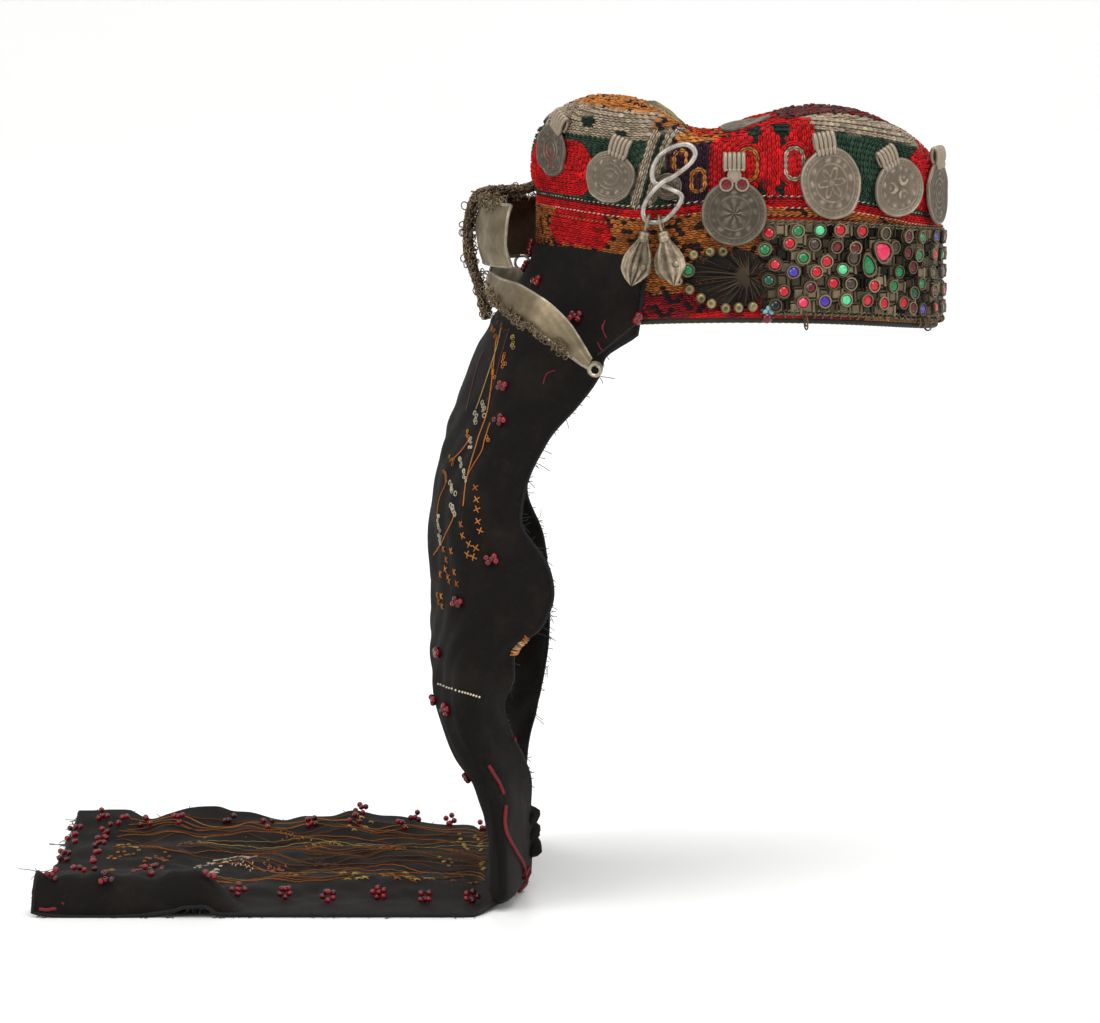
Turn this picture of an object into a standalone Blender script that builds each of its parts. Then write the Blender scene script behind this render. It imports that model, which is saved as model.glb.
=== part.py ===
"""An embroidered kalpak hat with coins, a jewelled band, a silver nape piece and a long tail cloth.

Metres, +Z up, +X towards the face, +Y to the wearer's left. The origin is the middle of the head
opening, in the plane of the rim. A turn is an angle round the hat, 0 at the front, positive to the
wearer's left. Lengths in the tables are shares of the sizes that stand before them.
"""
import math

import bmesh
import bpy
import numpy as np
from mathutils import Matrix, Vector
from mathutils.bvhtree import BVHTree

# Cap
RIM_LENGTH = 0.193
RIM_WIDTH = 0.160
RIM_SQUARENESS = 2.3
RIM_ARCH = 0.0065
BAND_HEIGHT = 0.060
BAND_WALL = 0.003
CROWN_HEIGHT = 0.106
CROWN_WALL = 0.004
SIDE_DENT_TURN = 103.0
SIDE_DENT_SPREAD = 9.0
SIDE_DENT_DEPTH = 0.007
BRAID_RADIUS = 0.0012
PIPING_RADIUS = 0.0014

# Tail cloth
CLOTH_WALL = 0.0016
TAIL_TURN = 117.0
TAIL_SEWN_HEIGHT = 0.038
TAIL_DROP = 0.283
TAIL_REACH = 0.3385
TAIL_NEAR_EDGE = 0.052
TAIL_FAR_EDGE = 0.195
HEEL_RADIUS = 0.008
HEEL_BACK = 0.1205
NAPE_STAND = 0.021
WAVE_HEIGHT = 0.0045
BORDER_ROLL_HEIGHT = 0.013
BORDER_ROLL_LENGTH = 0.092

# Jewelled band
STONE_BAND_TURN = 86.8
STONE_BAND_HEIGHT = 0.0425
STONE_BAND_LIFT = 0.0025
STONE_BAND_WALL = 0.0016
STONE_BAND_STEPS = 26
COLLET_RADIUS = 0.0031
COLLET_HEIGHT = 0.0014
COLLET_TAPER = 0.93
STONE_HEIGHT = 0.0011
STONE_TABLE = 0.62

# Bead fan
FAN_HUB = 0.002
FAN_RISE = 0.026
FAN_WALL = 0.0014
FAN_REACH = 0.029
FAN_BEAD_RADIUS = 0.0024

# Coins
COIN_RADIUS = 0.0153
COIN_WALL = 0.0016
BAIL_LENGTH = 0.0115
BAIL_RADIUS = 0.0034
BAIL_BORE = 0.0018
STATION_RADIUS = 0.0036

# Hook and pendants
HOOK_WIRE = 0.00125
HOOK_WIDTH = 0.024
HOOK_HEIGHT = 0.036
PENDANT_RING_RADIUS = 0.0040
PENDANT_RING_WIRE = 0.0007
PENDANT_CAP_RADIUS = 0.0027
PENDANT_CAP_HEIGHT = 0.0036
PENDANT_CAP_LAP = 0.08
PENDANT_RING_SIDES = 12
LEAF_WIDTH = 0.0145
LEAF_HEIGHT = 0.0230
LEAF_WALL = 0.0026

# Nape silver
SILVER_WALL = 0.0010
PLATE_HEIGHT = 0.0295
PLATE_STAND = 0.0235
PLATE_BASE = 0.0285
PLATE_BULGE = 0.006
WING_WIDTH = 0.0145
EYE_RADIUS = 0.0044
EYE_BORE = 0.0022
EYE_LENGTH = 0.0075
EYE_TILT = math.radians(50)
CHAIN_RADIUS = 0.0019
TIE_RADIUS = 0.0006
TIE_LIFT = 0.0025
TIE_BOW = 0.0015
TIE_BEFORE_TAIL = 3.0

# The clearance between two pieces that touch
GAP = 0.0003

HALF_LENGTH = RIM_LENGTH / 2
HALF_WIDTH = RIM_WIDTH / 2
# The middle of the nape plate's metal, where its far end lies on the cloth over the band
PLATE_SEAT = GAP + CLOTH_WALL + GAP + SILVER_WALL / 2


def clear_scene():
    for obj in list(bpy.data.objects):
        bpy.data.objects.remove(obj)


def new_collection(name):
    made = bpy.data.collections.new(name)
    bpy.context.scene.collection.children.link(made)
    return made


def new_material(name, colour, roughness, metallic=0.0):
    material = bpy.data.materials.new(name)
    material.use_nodes = True
    shader = material.node_tree.nodes["Principled BSDF"]
    shader.inputs["Base Color"].default_value = (*colour, 1.0)
    shader.inputs["Roughness"].default_value = roughness
    shader.inputs["Metallic"].default_value = metallic
    return material


clear_scene()
HAT = new_collection("kalpak_hat")
HELPERS = new_collection("helpers")
HELPERS.hide_render = True

RED_CLOTH = new_material("red embroidered cotton", (0.55, 0.03, 0.03), 0.85)
ORANGE_CLOTH = new_material("orange embroidered cotton", (0.62, 0.24, 0.05), 0.85)
BRAID = new_material("red and white braid", (0.70, 0.20, 0.18), 0.8)
PIPING = new_material("dark green piping", (0.02, 0.06, 0.04), 0.8)
BLACK_CLOTH = new_material("black satin cotton", (0.02, 0.017, 0.018), 0.6)
OLD_SILVER = new_material("tarnished silver", (0.36, 0.34, 0.30), 0.42, 1.0)
PALE_SILVER = new_material("pale silver", (0.60, 0.57, 0.50), 0.38, 1.0)
BRASS = new_material("old brass", (0.50, 0.42, 0.24), 0.4, 1.0)
BLACK_THREAD = new_material("black thread", (0.02, 0.02, 0.02), 0.9)


def smooth_between(stations, values, at):
    """Values read off a smooth curve through a table's rows, which never overshoots them."""
    stations = np.asarray(stations, float)
    values = np.asarray(values, float)
    steps = np.diff(stations)
    slopes = np.diff(values) / steps
    tangents = np.concatenate([[slopes[0]], (slopes[1:] + slopes[:-1]) / 2, [slopes[-1]]])
    turns_back = slopes[1:] * slopes[:-1] <= 0
    tangents[1:-1][turns_back] = 0.0
    at = np.clip(at, stations[0], stations[-1])
    row = np.clip(np.searchsorted(stations, at) - 1, 0, len(steps) - 1)
    t = (at - stations[row]) / steps[row]
    start, end = values[row], values[row + 1]
    pull = steps[row]
    return (
        start * (2 * t**3 - 3 * t**2 + 1)
        + tangents[row] * pull * (t**3 - 2 * t**2 + t)
        + end * (3 * t**2 - 2 * t**3)
        + tangents[row + 1] * pull * (t**3 - t**2)
    )


def signed_power(value, power):
    return np.sign(value) * np.abs(value) ** power


def ring(turn, out=0.0):
    """X and Y on the cap's oval, this far outside its wall, at turns in radians."""
    power = 2 / RIM_SQUARENESS
    x = (HALF_LENGTH + out) * signed_power(np.cos(turn), power)
    y = (HALF_WIDTH + out) * signed_power(np.sin(turn), power)
    return x, y


def outward(turn):
    """The level direction that leaves the cap's wall squarely at a turn in radians."""
    step = 0.004
    ahead = np.array(ring(turn + step))
    behind = np.array(ring(turn - step))
    along = ahead - behind
    return Vector((along[1], -along[0], 0.0)).normalized()


def rim_height(turn):
    return RIM_ARCH * np.sin(turn) ** 2


# How high the seam between band and crown runs, as a share of the band's height.
SEAM_ROWS = (
    # turn in degrees, height
    (0, 0.84),
    (34, 0.89),
    (53, 0.97),
    (70, 1.03),
    (87, 1.045),
    (100, 1.00),
    (116, 0.955),
    (135, 0.99),
    (150, 1.015),
    (180, 1.03),
)


def seam_height(turn):
    degrees, shares = zip(*SEAM_ROWS)
    folded = np.degrees(np.abs((np.asarray(turn) + math.pi) % (2 * math.pi) - math.pi))
    return BAND_HEIGHT * smooth_between(degrees, shares, folded)


# The crown's ridge from back to front: two lobes with a dent between them.
RIDGE_ROWS = (
    # place as a share of half the length, height as a share of the crown's height
    (-1.02, 0.89),
    (-0.92, 0.96),
    (-0.70, 1.01),
    (-0.45, 0.97),
    (-0.22, 0.85),
    (-0.12, 0.84),
    (0.12, 0.905),
    (0.42, 0.95),
    (0.62, 0.93),
    (0.88, 0.83),
    (1.02, 0.70),
)
RIDGE_FALL = 0.055

# The crown from its seam to its middle: how far in, and how far up towards the ridge.
CROWN_ROWS = (
    # spread as a share of the rim's oval, rise as a share of the way up
    (1.000, 0.00),
    (1.018, 0.25),
    (1.020, 0.50),
    (0.995, 0.74),
    (0.930, 0.90),
    (0.810, 0.965),
    (0.600, 0.99),
    (0.320, 1.00),
)


def crown_top(x, y):
    places, heights = zip(*RIDGE_ROWS)
    ridge = CROWN_HEIGHT * smooth_between(places, heights, x / HALF_LENGTH)
    return ridge * (1 - RIDGE_FALL * (y / HALF_WIDTH) ** 2)


def crown_point(turn, spread, rise):
    folded = np.degrees(np.abs((turn + math.pi) % (2 * math.pi) - math.pi))
    dent = np.exp(-(((folded - SIDE_DENT_TURN) / SIDE_DENT_SPREAD) ** 2))
    x, y = ring(turn)
    push = 1 - SIDE_DENT_DEPTH / HALF_WIDTH * dent * rise * spread
    x = x * spread
    y = y * spread * push
    seam = seam_height(turn) + GAP / 2
    return x, y, seam + (crown_top(x, y) - seam) * rise


def grid_mesh(name, rows, wrap=False, peak=None):
    """A mesh through rows of points: open, wrapped round, or closed at a peak past its last row."""
    rows = np.asarray(rows, float)
    count, width = rows.shape[:2]
    points = [tuple(point) for point in rows.reshape(-1, 3)]
    faces = []
    last = width if wrap else width - 1
    for r in range(count - 1):
        for c in range(last):
            d = (c + 1) % width
            faces.append((r * width + c, r * width + d, (r + 1) * width + d, (r + 1) * width + c))
    if peak is not None:
        points.append(tuple(peak))
        top = (count - 1) * width
        faces += [(top + c, top + (c + 1) % width, count * width) for c in range(width)]
    mesh = bpy.data.meshes.new(name)
    mesh.from_pydata(points, [], faces)
    face_away(mesh)
    return mesh


def face_away(mesh):
    """Turns the faces of an open surface away from the middle of the hat, or up where it lies flat."""
    facing_out = 0.0
    for face in mesh.polygons:
        away = Vector((face.center.x, face.center.y, HALF_WIDTH))
        facing_out += face.area * face.normal.dot(away)
    if facing_out < 0:
        mesh.flip_normals()


def add_object(name, mesh, material, collection=None):
    made = bpy.data.objects.new(name, mesh)
    (collection or HAT).objects.link(made)
    if material:
        mesh.materials.append(material)
    return made


def helper(name, mesh):
    made = add_object(name, mesh, None, HELPERS)
    made.hide_render = True
    made.display_type = "WIRE"
    return made


def shade_round(obj, angle=40.0):
    obj.data.shade_smooth()
    obj.data.set_sharp_from_angle(angle=math.radians(angle))


def solidify(obj, wall, side):
    """Gives an open surface its wall, on the side its faces point to (1) or behind them (-1)."""
    modifier = obj.modifiers.new("wall", "SOLIDIFY")
    modifier.thickness = wall
    modifier.offset = side
    return modifier


def tube(name, points, radius, material, closed=False, resolution=1):
    curve = bpy.data.curves.new(name, "CURVE")
    curve.dimensions = "3D"
    curve.bevel_depth = radius
    curve.bevel_resolution = resolution
    curve.use_fill_caps = True
    spline = curve.splines.new("POLY")
    spline.points.add(len(points) - 1)
    for point, place in zip(spline.points, points):
        point.co = (*place, 1.0)
    spline.use_cyclic_u = closed
    made = bpy.data.objects.new(name, curve)
    HAT.objects.link(made)
    curve.materials.append(material)
    return made


def as_helper_mesh(curve_object):
    """The curve object made a closed mesh, for joining."""
    bpy.context.view_layer.update()
    graph = bpy.context.evaluated_depsgraph_get()
    mesh = bpy.data.meshes.new_from_object(curve_object.evaluated_get(graph))
    shape = bmesh.new()
    shape.from_mesh(mesh)
    bmesh.ops.remove_doubles(shape, verts=shape.verts, dist=1e-6)
    shape.to_mesh(mesh)
    shape.free()
    mesh.materials.clear()
    made = helper(curve_object.name, mesh)
    made.matrix_world = curve_object.matrix_world
    bpy.data.objects.remove(curve_object)
    return made


def fuse(body, pieces):
    """Joins solids to a body, which stays one node."""
    group = bpy.data.collections.new(body.name + " joined")
    HELPERS.children.link(group)
    for piece in pieces:
        group.objects.link(piece)
        HELPERS.objects.unlink(piece)
    union = body.modifiers.new("union", "BOOLEAN")
    union.operation = "UNION"
    union.operand_type = "COLLECTION"
    union.collection = group
    return body


def solid(make, matrix):
    """The closed shape that a function makes, as a mesh moved by the matrix."""
    shape = bmesh.new()
    make(shape)
    bmesh.ops.transform(shape, matrix=matrix, verts=shape.verts)
    mesh = bpy.data.meshes.new("solid")
    shape.to_mesh(mesh)
    shape.free()
    return mesh


def disc(radius, wall, sides, matrix):
    """A round plate, its axis along local Z, from 0 to its wall."""
    def make(shape):
        bmesh.ops.create_cone(
            shape,
            cap_ends=True,
            segments=sides,
            radius1=radius,
            radius2=radius,
            depth=wall,
            matrix=Matrix.Translation((0, 0, wall / 2)),
        )
    return solid(make, matrix)


def ball(radius, sides, matrix):
    def make(shape):
        bmesh.ops.create_uvsphere(shape, u_segments=sides, v_segments=4, radius=radius)
    return solid(make, matrix)


def pipe(name, outer, bore, length, sides=8):
    """A short pipe along X, turned from its wall's profile."""
    half = length / 2
    profile = [(-half, 0, outer), (half, 0, outer), (half, 0, bore), (-half, 0, bore)]
    mesh = bpy.data.meshes.new(name)
    mesh.from_pydata(profile, [(0, 1), (1, 2), (2, 3), (3, 0)], [])
    made = helper(name, mesh)
    screw = made.modifiers.new("turn", "SCREW")
    screw.axis = "X"
    screw.steps = sides
    screw.render_steps = sides
    screw.use_merge_vertices = True
    screw.merge_threshold = 0.00001
    return made


def world_surface(obj, graph):
    evaluated = obj.evaluated_get(graph)
    mesh = evaluated.to_mesh()
    mesh.calc_loop_triangles()
    matrix = np.array(obj.matrix_world)
    points = np.array([v.co[:] for v in mesh.vertices]) @ matrix[:3, :3].T + matrix[:3, 3]
    faces = [tuple(t.vertices) for t in mesh.loop_triangles]
    evaluated.to_mesh_clear()
    return points, faces


def samples(points, faces):
    corners = points[np.array(faces)]
    middles = (corners + np.roll(corners, 1, axis=1)).reshape(-1, 3) / 2
    return np.concatenate([points, middles, corners.mean(axis=1)])


def seat(piece, supports, inward, clearance=GAP):
    """Moves a piece along a direction until it lies its clearance from what it rests on."""
    bpy.context.view_layer.update()
    graph = bpy.context.evaluated_depsgraph_get()
    inward = Vector(inward).normalized()
    points, faces = world_surface(piece, graph)
    own = BVHTree.FromPolygons([Vector(p) for p in points], faces)
    travel = []
    for support in supports:
        under, under_faces = world_surface(support, graph)
        tree = BVHTree.FromPolygons([Vector(p) for p in under], under_faces)
        for place in samples(points, faces):
            hit = tree.ray_cast(Vector(place), inward)
            if hit[0] is not None:
                travel.append(hit[3])
        for place in samples(under, under_faces):
            hit = own.ray_cast(Vector(place), -inward)
            if hit[0] is not None:
                travel.append(hit[3])
    piece.location += inward * (min(travel) - clearance)
    bpy.context.view_layer.update()


def facing(turn, roll=0.0, lean=0.0):
    """Local X level along the wall, local Y into the hat, local Z up, then rolled and leant."""
    out = outward(turn)
    along = Vector((0, 0, 1)).cross(-out) * -1
    frame = Matrix((along, -out, Vector((0, 0, 1)))).transposed().to_4x4()
    return frame @ Matrix.Rotation(roll, 4, "Y") @ Matrix.Rotation(lean, 4, "X")


def wall_place(turn, height, out):
    x, y = ring(turn, out)
    return Vector((float(x), float(y), float(height)))


# Crown, band, braid and piping
RING_STEPS = 36
ROUND = np.radians(np.arange(RING_STEPS) * 360.0 / RING_STEPS)


def make_crown():
    rows = []
    for spread, rise in CROWN_ROWS:
        rows.append(np.stack(crown_point(ROUND, spread, rise), axis=-1))
    peak = (0.0, 0.0, float(crown_top(0.0, 0.0)))
    crown = add_object("crown", grid_mesh("crown", rows, wrap=True, peak=peak), RED_CLOTH)
    solidify(crown, CROWN_WALL, -1)
    shade_round(crown)
    return crown


def make_band():
    rows = []
    for up in (0.0, 0.5, 1.0):
        low = rim_height(ROUND)
        height = low + (seam_height(ROUND) - GAP / 2 - low) * up
        x, y = ring(ROUND)
        rows.append(np.stack([x, y, height], axis=-1))
    band = add_object("cap_band", grid_mesh("cap_band", rows, wrap=True), ORANGE_CLOTH)
    solidify(band, BAND_WALL, -1)
    shade_round(band)
    return band


def make_edge_rings():
    x, y = ring(ROUND, BRAID_RADIUS + 2 * GAP)
    height = seam_height(ROUND)
    braid = tube("seam_braid", np.stack([x, y, height], axis=-1), BRAID_RADIUS, BRAID, True, 0)
    x, y = ring(ROUND, -BAND_WALL / 2)
    height = rim_height(ROUND) - PIPING_RADIUS - GAP
    piping = tube("rim_piping", np.stack([x, y, height], axis=-1), PIPING_RADIUS, PIPING, True, 0)
    return braid, piping


# The hanging cloth is a gutter, open to the front, whose sides curl in as it nears the table.
HANG_ROWS = (
    # drop as a share of the whole, then shares of half the length: back, near edge, far edge;
    # shares of half the width: near side, far side, inward curl of the near edge
    (0.000, -1.230, -0.520, -0.520, 0.93, 0.93, 0.00),
    (0.080, -1.325, -0.740, -0.760, 0.92, 0.94, 0.00),
    (0.190, -1.430, -0.960, -0.960, 0.88, 0.97, 0.05),
    (0.320, -1.510, -1.085, -1.065, 0.86, 1.02, 0.10),
    (0.400, -1.525, -0.950, -0.985, 0.86, 1.08, 0.10),
    (0.500, -1.515, -1.010, -0.960, 0.84, 1.15, 0.15),
    (0.600, -1.505, -1.120, -0.960, 0.80, 1.26, 0.25),
    (0.700, -1.465, -1.190, -1.000, 0.76, 1.42, 0.40),
    (0.780, -1.370, -1.235, -1.045, 0.72, 1.62, 0.60),
    (0.860, -1.275, -1.180, -1.055, 0.68, 1.90, 0.85),
    (0.945, -1.262, -1.050, -0.995, 0.66, 2.16, 1.05),
)
HANG_SHARES = (0.0, 0.08, 0.16, 0.24, 0.32, 0.40, 0.48, 0.57, 0.66, 0.75, 0.82, 0.89, 0.945)
TAIL_COLUMNS = 17
GUTTER_SQUARENESS = 2.4
RUFFLE_DEPTH = 0.0035
LYING_ROWS = 10


def across_shares():
    return np.linspace(-1.0, 1.0, TAIL_COLUMNS)


def sewn_rows():
    """The cloth round the outside of the band: sewn along its top and sides, standing off at the nape."""
    turns = math.pi + across_shares() * math.radians(180.0 - TAIL_TURN)
    turns = turns[::-1]
    low = rim_height(turns)
    away = (1 - across_shares() ** 2) ** 1.5
    rows = []
    for up, stand in ((1.0, 0.0), (0.75, 0.10), (0.40, 0.45), (0.0, 1.0)):
        x, y = ring(turns, GAP + NAPE_STAND * stand * away)
        rows.append(np.stack([x, y, low + (TAIL_SEWN_HEIGHT - low) * up], axis=-1))
    return rows


def hanging_row(drop):
    columns = [np.array(column) for column in zip(*HANG_ROWS)]
    back, near_x, far_x, near_y, far_y, curl = (
        float(smooth_between(columns[0], column, drop)) for column in columns[1:]
    )
    across = across_shares()
    angle = across * math.pi / 2
    near = across < 0
    edge_x = np.where(near, near_x, far_x) * HALF_LENGTH
    half_y = np.where(near, near_y, far_y) * HALF_WIDTH
    middle = signed_power(np.cos(angle), 2 / GUTTER_SQUARENESS)
    x = edge_x - (edge_x - back * HALF_LENGTH) * middle
    y = half_y * signed_power(np.sin(angle), 2 / GUTTER_SQUARENESS)
    y = y + curl * HALF_WIDTH * np.clip(-across - 0.45, 0, 1) ** 2 * 3.3
    ruffle = RUFFLE_DEPTH * np.clip((drop - 0.72) / 0.15, 0, 1) * np.clip(across, 0, 1) ** 2
    x = x + ruffle * np.sin(drop * 95.0)
    return np.stack([x, y, np.full_like(x, -TAIL_DROP * drop)], axis=-1)


def hanging_rows():
    rim_row = sewn_rows()[-1]
    rows = []
    for drop in HANG_SHARES[1:]:
        row = hanging_row(drop)
        keep = max(0.0, 1 - drop / 0.13)
        carried = rim_row.copy()
        carried[:, 2] = row[:, 2]
        rows.append(row * (1 - keep) + carried * keep)
    return rows


def wave(x, y):
    """The lying cloth's height above the table: low waves, and one long border rolled up."""
    share = (-x - HEEL_BACK) / (TAIL_REACH - HEEL_BACK)
    side = (y + TAIL_NEAR_EDGE) / (TAIL_NEAR_EDGE + TAIL_FAR_EDGE)
    low = 0.5 - 0.5 * np.cos(share * 17.0 + side * 3.0)
    cross = 0.5 + 0.5 * np.sin(side * 9.0 + share * 5.0)
    far_lift = np.clip((side - 0.8) / 0.2, 0, 1) ** 2 * (0.7 + 0.3 * np.cos(share * 19.0 - 0.6))
    height = WAVE_HEIGHT * (0.45 * low * cross + 1.9 * far_lift)
    roll_start = (TAIL_REACH - HEEL_BACK - BORDER_ROLL_LENGTH) / (TAIL_REACH - HEEL_BACK)
    rolled = np.clip((share - roll_start) / (1 - roll_start), 0, 1)
    rolled = np.sin(np.clip(rolled * 1.25, 0, 1) * math.pi / 2) ** 2
    hump = np.exp(-(((side - 0.075) / 0.055) ** 2))
    return height + BORDER_ROLL_HEIGHT * rolled * hump


def lying_rows():
    """The heel's bend, then the stretch that lies on the table."""
    across = across_shares()
    side = np.interp(across, (-1, 1), (-TAIL_NEAR_EDGE, TAIL_FAR_EDGE))
    floor = -TAIL_DROP
    start = hanging_row(HANG_SHARES[-1])
    rows = []
    for degrees, settle in ((35, 0.25), (70, 0.75)):
        angle = math.radians(degrees)
        x = -HEEL_BACK - HEEL_RADIUS * (1 - math.cos(angle))
        z = floor + HEEL_RADIUS * (1 - math.sin(angle))
        flat = np.stack([np.full_like(side, x), side, np.full_like(side, z)], axis=-1)
        blended = start * (1 - settle) + flat * settle
        blended[:, 2] = z
        rows.append(blended)
    first = HEEL_BACK + HEEL_RADIUS + 0.004
    for share in np.linspace(0.0, 1.0, LYING_ROWS):
        x = -(first + (TAIL_REACH - first) * share) + 0.0 * side
        settled = min(1.0, share * 4)
        rows.append(np.stack([x, side, floor + wave(x, side) * settled], axis=-1))
    return rows


def make_tail():
    rows = sewn_rows() + hanging_rows() + lying_rows()
    tail = add_object("tail_panel", grid_mesh("tail_panel", rows), BLACK_CLOTH)
    solidify(tail, CLOTH_WALL, 1)
    shade_round(tail, 60.0)
    return tail


# Stones on the near half of the jewelled band: one row in the table for each.
STONE_ROWS = (
    # turn in degrees, height as a share of the band's
    (85, 0.88), (78, 0.91), (72, 0.92), (66, 0.93), (59, 0.93), (50.5, 0.92), (40.5, 0.90), (33, 0.90),
    (86, 0.70), (80, 0.77), (73.5, 0.76), (67, 0.75), (61, 0.74), (46.5, 0.77), (40.5, 0.72), (34.5, 0.70),
    (83.5, 0.54), (76.5, 0.61), (70, 0.58), (38, 0.56), (85, 0.36), (79, 0.46), (73, 0.46),
    (65, 0.49), (44.5, 0.50), (74.5, 0.29), (68, 0.34), (62.5, 0.34), (54.5, 0.33), (47, 0.34),
    (33, 0.38), (81.5, 0.24), (57, 0.17), (37, 0.27), (76.5, 0.12), (70.5, 0.14), (64, 0.16),
    (51, 0.14), (42.5, 0.16), (38, 0.10), (32.5, 0.10), (83.5, 0.08),
)
DROP_ROWS = (
    # turn in degrees, height as a share, length and width as shares of a collet's radius, lean
    (52, 0.72, 1.65, 1.35, 25.0),
    (56.5, 0.56, 1.70, 1.00, 20.0),
)
HIDDEN_STONE_ROWS = (0.28, 0.72)
HIDDEN_STONE_TURNS = (20, 2, -18, -36, -52, -66, -80)


def band_frame(turn, share, out):
    """A frame on the jewelled band: its origin out from the cap's wall, its local Z outward."""
    low = float(rim_height(turn)) + STONE_BAND_LIFT
    place = wall_place(turn, low + STONE_BAND_HEIGHT * share, out)
    return Matrix.Translation(place) @ facing(turn) @ Matrix.Rotation(math.pi / 2, 4, "X")


def set_stone(turn, share, scale=(1.0, 1.0), lean=0.0):
    """A collet with a cut stone: an eight-sided cup, eight facets and a flat table."""
    base = GAP + STONE_BAND_WALL * 0.5
    frame = band_frame(turn, share, base) @ Matrix.Rotation(math.radians(lean), 4, "Z")
    frame = frame @ Matrix.Diagonal((scale[1], scale[0], 1.0, 1.0))
    cup = STONE_BAND_WALL * 0.5 + COLLET_HEIGHT
    def make(shape):
        bmesh.ops.create_cone(
            shape,
            cap_ends=True,
            segments=8,
            radius1=COLLET_RADIUS,
            radius2=COLLET_RADIUS * COLLET_TAPER,
            depth=cup,
            matrix=Matrix.Translation((0, 0, cup / 2)),
        )
        top = [face for face in shape.faces if face.normal.z > 0.9][0]
        inner = bmesh.ops.extrude_discrete_faces(shape, faces=[top])["faces"][0]
        bmesh.ops.scale(shape, vec=(STONE_TABLE, STONE_TABLE, 1.0), verts=inner.verts)
        bmesh.ops.translate(shape, vec=(0, 0, STONE_HEIGHT), verts=inner.verts)
    return helper("stone", solid(make, frame))


def make_stone_band():
    turns = np.radians(np.linspace(-STONE_BAND_TURN, STONE_BAND_TURN, STONE_BAND_STEPS))
    x, y = ring(turns, GAP)
    low = rim_height(turns) + STONE_BAND_LIFT
    rows = [np.stack([x, y, low + STONE_BAND_HEIGHT * up], axis=-1) for up in (0.0, 1.0)]
    band = add_object("stone_band", grid_mesh("stone_band", rows), OLD_SILVER)
    solidify(band, STONE_BAND_WALL, 1)
    stones = [set_stone(-math.radians(turn), share) for turn, share in STONE_ROWS]
    for turn, share, length, width, lean in DROP_ROWS:
        stones.append(set_stone(-math.radians(turn), share, (length, width), lean))
    for turn in HIDDEN_STONE_TURNS:
        for share in HIDDEN_STONE_ROWS:
            stones.append(set_stone(math.radians(-turn), share))
    fuse(band, stones)
    return band


# The fan's outline round its hub, and which corners carry a brass bead.
FAN_ROWS = (
    # bearing in degrees from level towards the back, reach as a share of the fan's, bead
    (-98, 0.49, True),
    (-73, 0.52, True),
    (-55, 0.62, True),
    (-37, 0.72, True),
    (-25, 0.82, True),
    (-13, 0.94, True),
    (-4, 1.10, True),
    (8, 0.98, False),
    (22, 0.93, True),
    (34, 0.72, True),
    (45, 0.57, True),
    (66, 0.50, False),
    (90, 0.44, False),
)


def turn_at(x):
    """The turn on the wearer's right where the cap's oval passes this X."""
    return -np.arccos(signed_power(np.asarray(x) / HALF_LENGTH, RIM_SQUARENESS / 2))


def fan_place(bearing, reach, out):
    """A point over the cap's wall, by its bearing and distance from the fan's hub."""
    angle = math.radians(bearing)
    turn = float(turn_at(FAN_HUB - reach * math.cos(angle)))
    return wall_place(turn, FAN_RISE + reach * math.sin(angle), out)


def make_fan():
    rows = [
        [fan_place(bearing, FAN_REACH * reach * share, GAP) for bearing, reach, _ in FAN_ROWS]
        for share in (0.10, 0.55, 1.0)
    ]
    fan = add_object("bead_fan", grid_mesh("bead_fan", rows), BRASS)
    solidify(fan, FAN_WALL, 1)
    beads = []
    for bearing, reach, has_bead in FAN_ROWS:
        if has_bead:
            place = fan_place(bearing, FAN_REACH * reach, 2 * GAP + FAN_BEAD_RADIUS)
            beads.append(helper("bead", ball(FAN_BEAD_RADIUS, 10, Matrix.Translation(place))))
    fuse(fan, beads)
    return fan


# Coins in the photograph's order from the back to the front, then the plain ones on the far side.
COIN_ROWS = (
    # name, turn, height as a share of the crown's, radius as a share, oval, roll, bail distance
    ("coin_1", -153.0, 0.79, 0.87, 0.95, 31.0, 1.05),
    ("coin_2", -122.0, 0.68, 0.82, 1.00, 20.0, 1.12),
    ("coin_3", -91.3, 0.525, 1.00, 1.00, 0.0, 1.50),
    ("coin_4", -72.5, 0.655, 1.12, 0.84, -10.0, 1.03),
    ("coin_5", -49.0, 0.63, 0.90, 1.05, -27.0, 1.10),
    ("coin_6", -22.0, 0.595, 0.98, 0.90, -3.0, 1.08),
    ("coin_7", 28.0, 0.56, 0.95, 1.00, 0.0, 1.08),
    ("coin_8", 58.0, 0.63, 0.95, 1.00, 0.0, 1.08),
    ("coin_9", 90.0, 0.60, 0.95, 1.00, 0.0, 1.08),
    ("coin_10", 121.0, 0.67, 0.95, 1.00, 0.0, 1.08),
    ("coin_11", 150.0, 0.66, 0.90, 1.00, 0.0, 1.08),
)
STATION_ROWS = (
    # the three small collets over the middle coin: sideways and up from the coin's centre, as
    # shares of the coin's radius
    (-0.24, 0.88),
    (0.24, 0.88),
    (0.0, 1.16),
)
COIN_SIDES = 16
SMALL_DISC_TURN = -105.0
TRAVEL_START = 0.045


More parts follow.
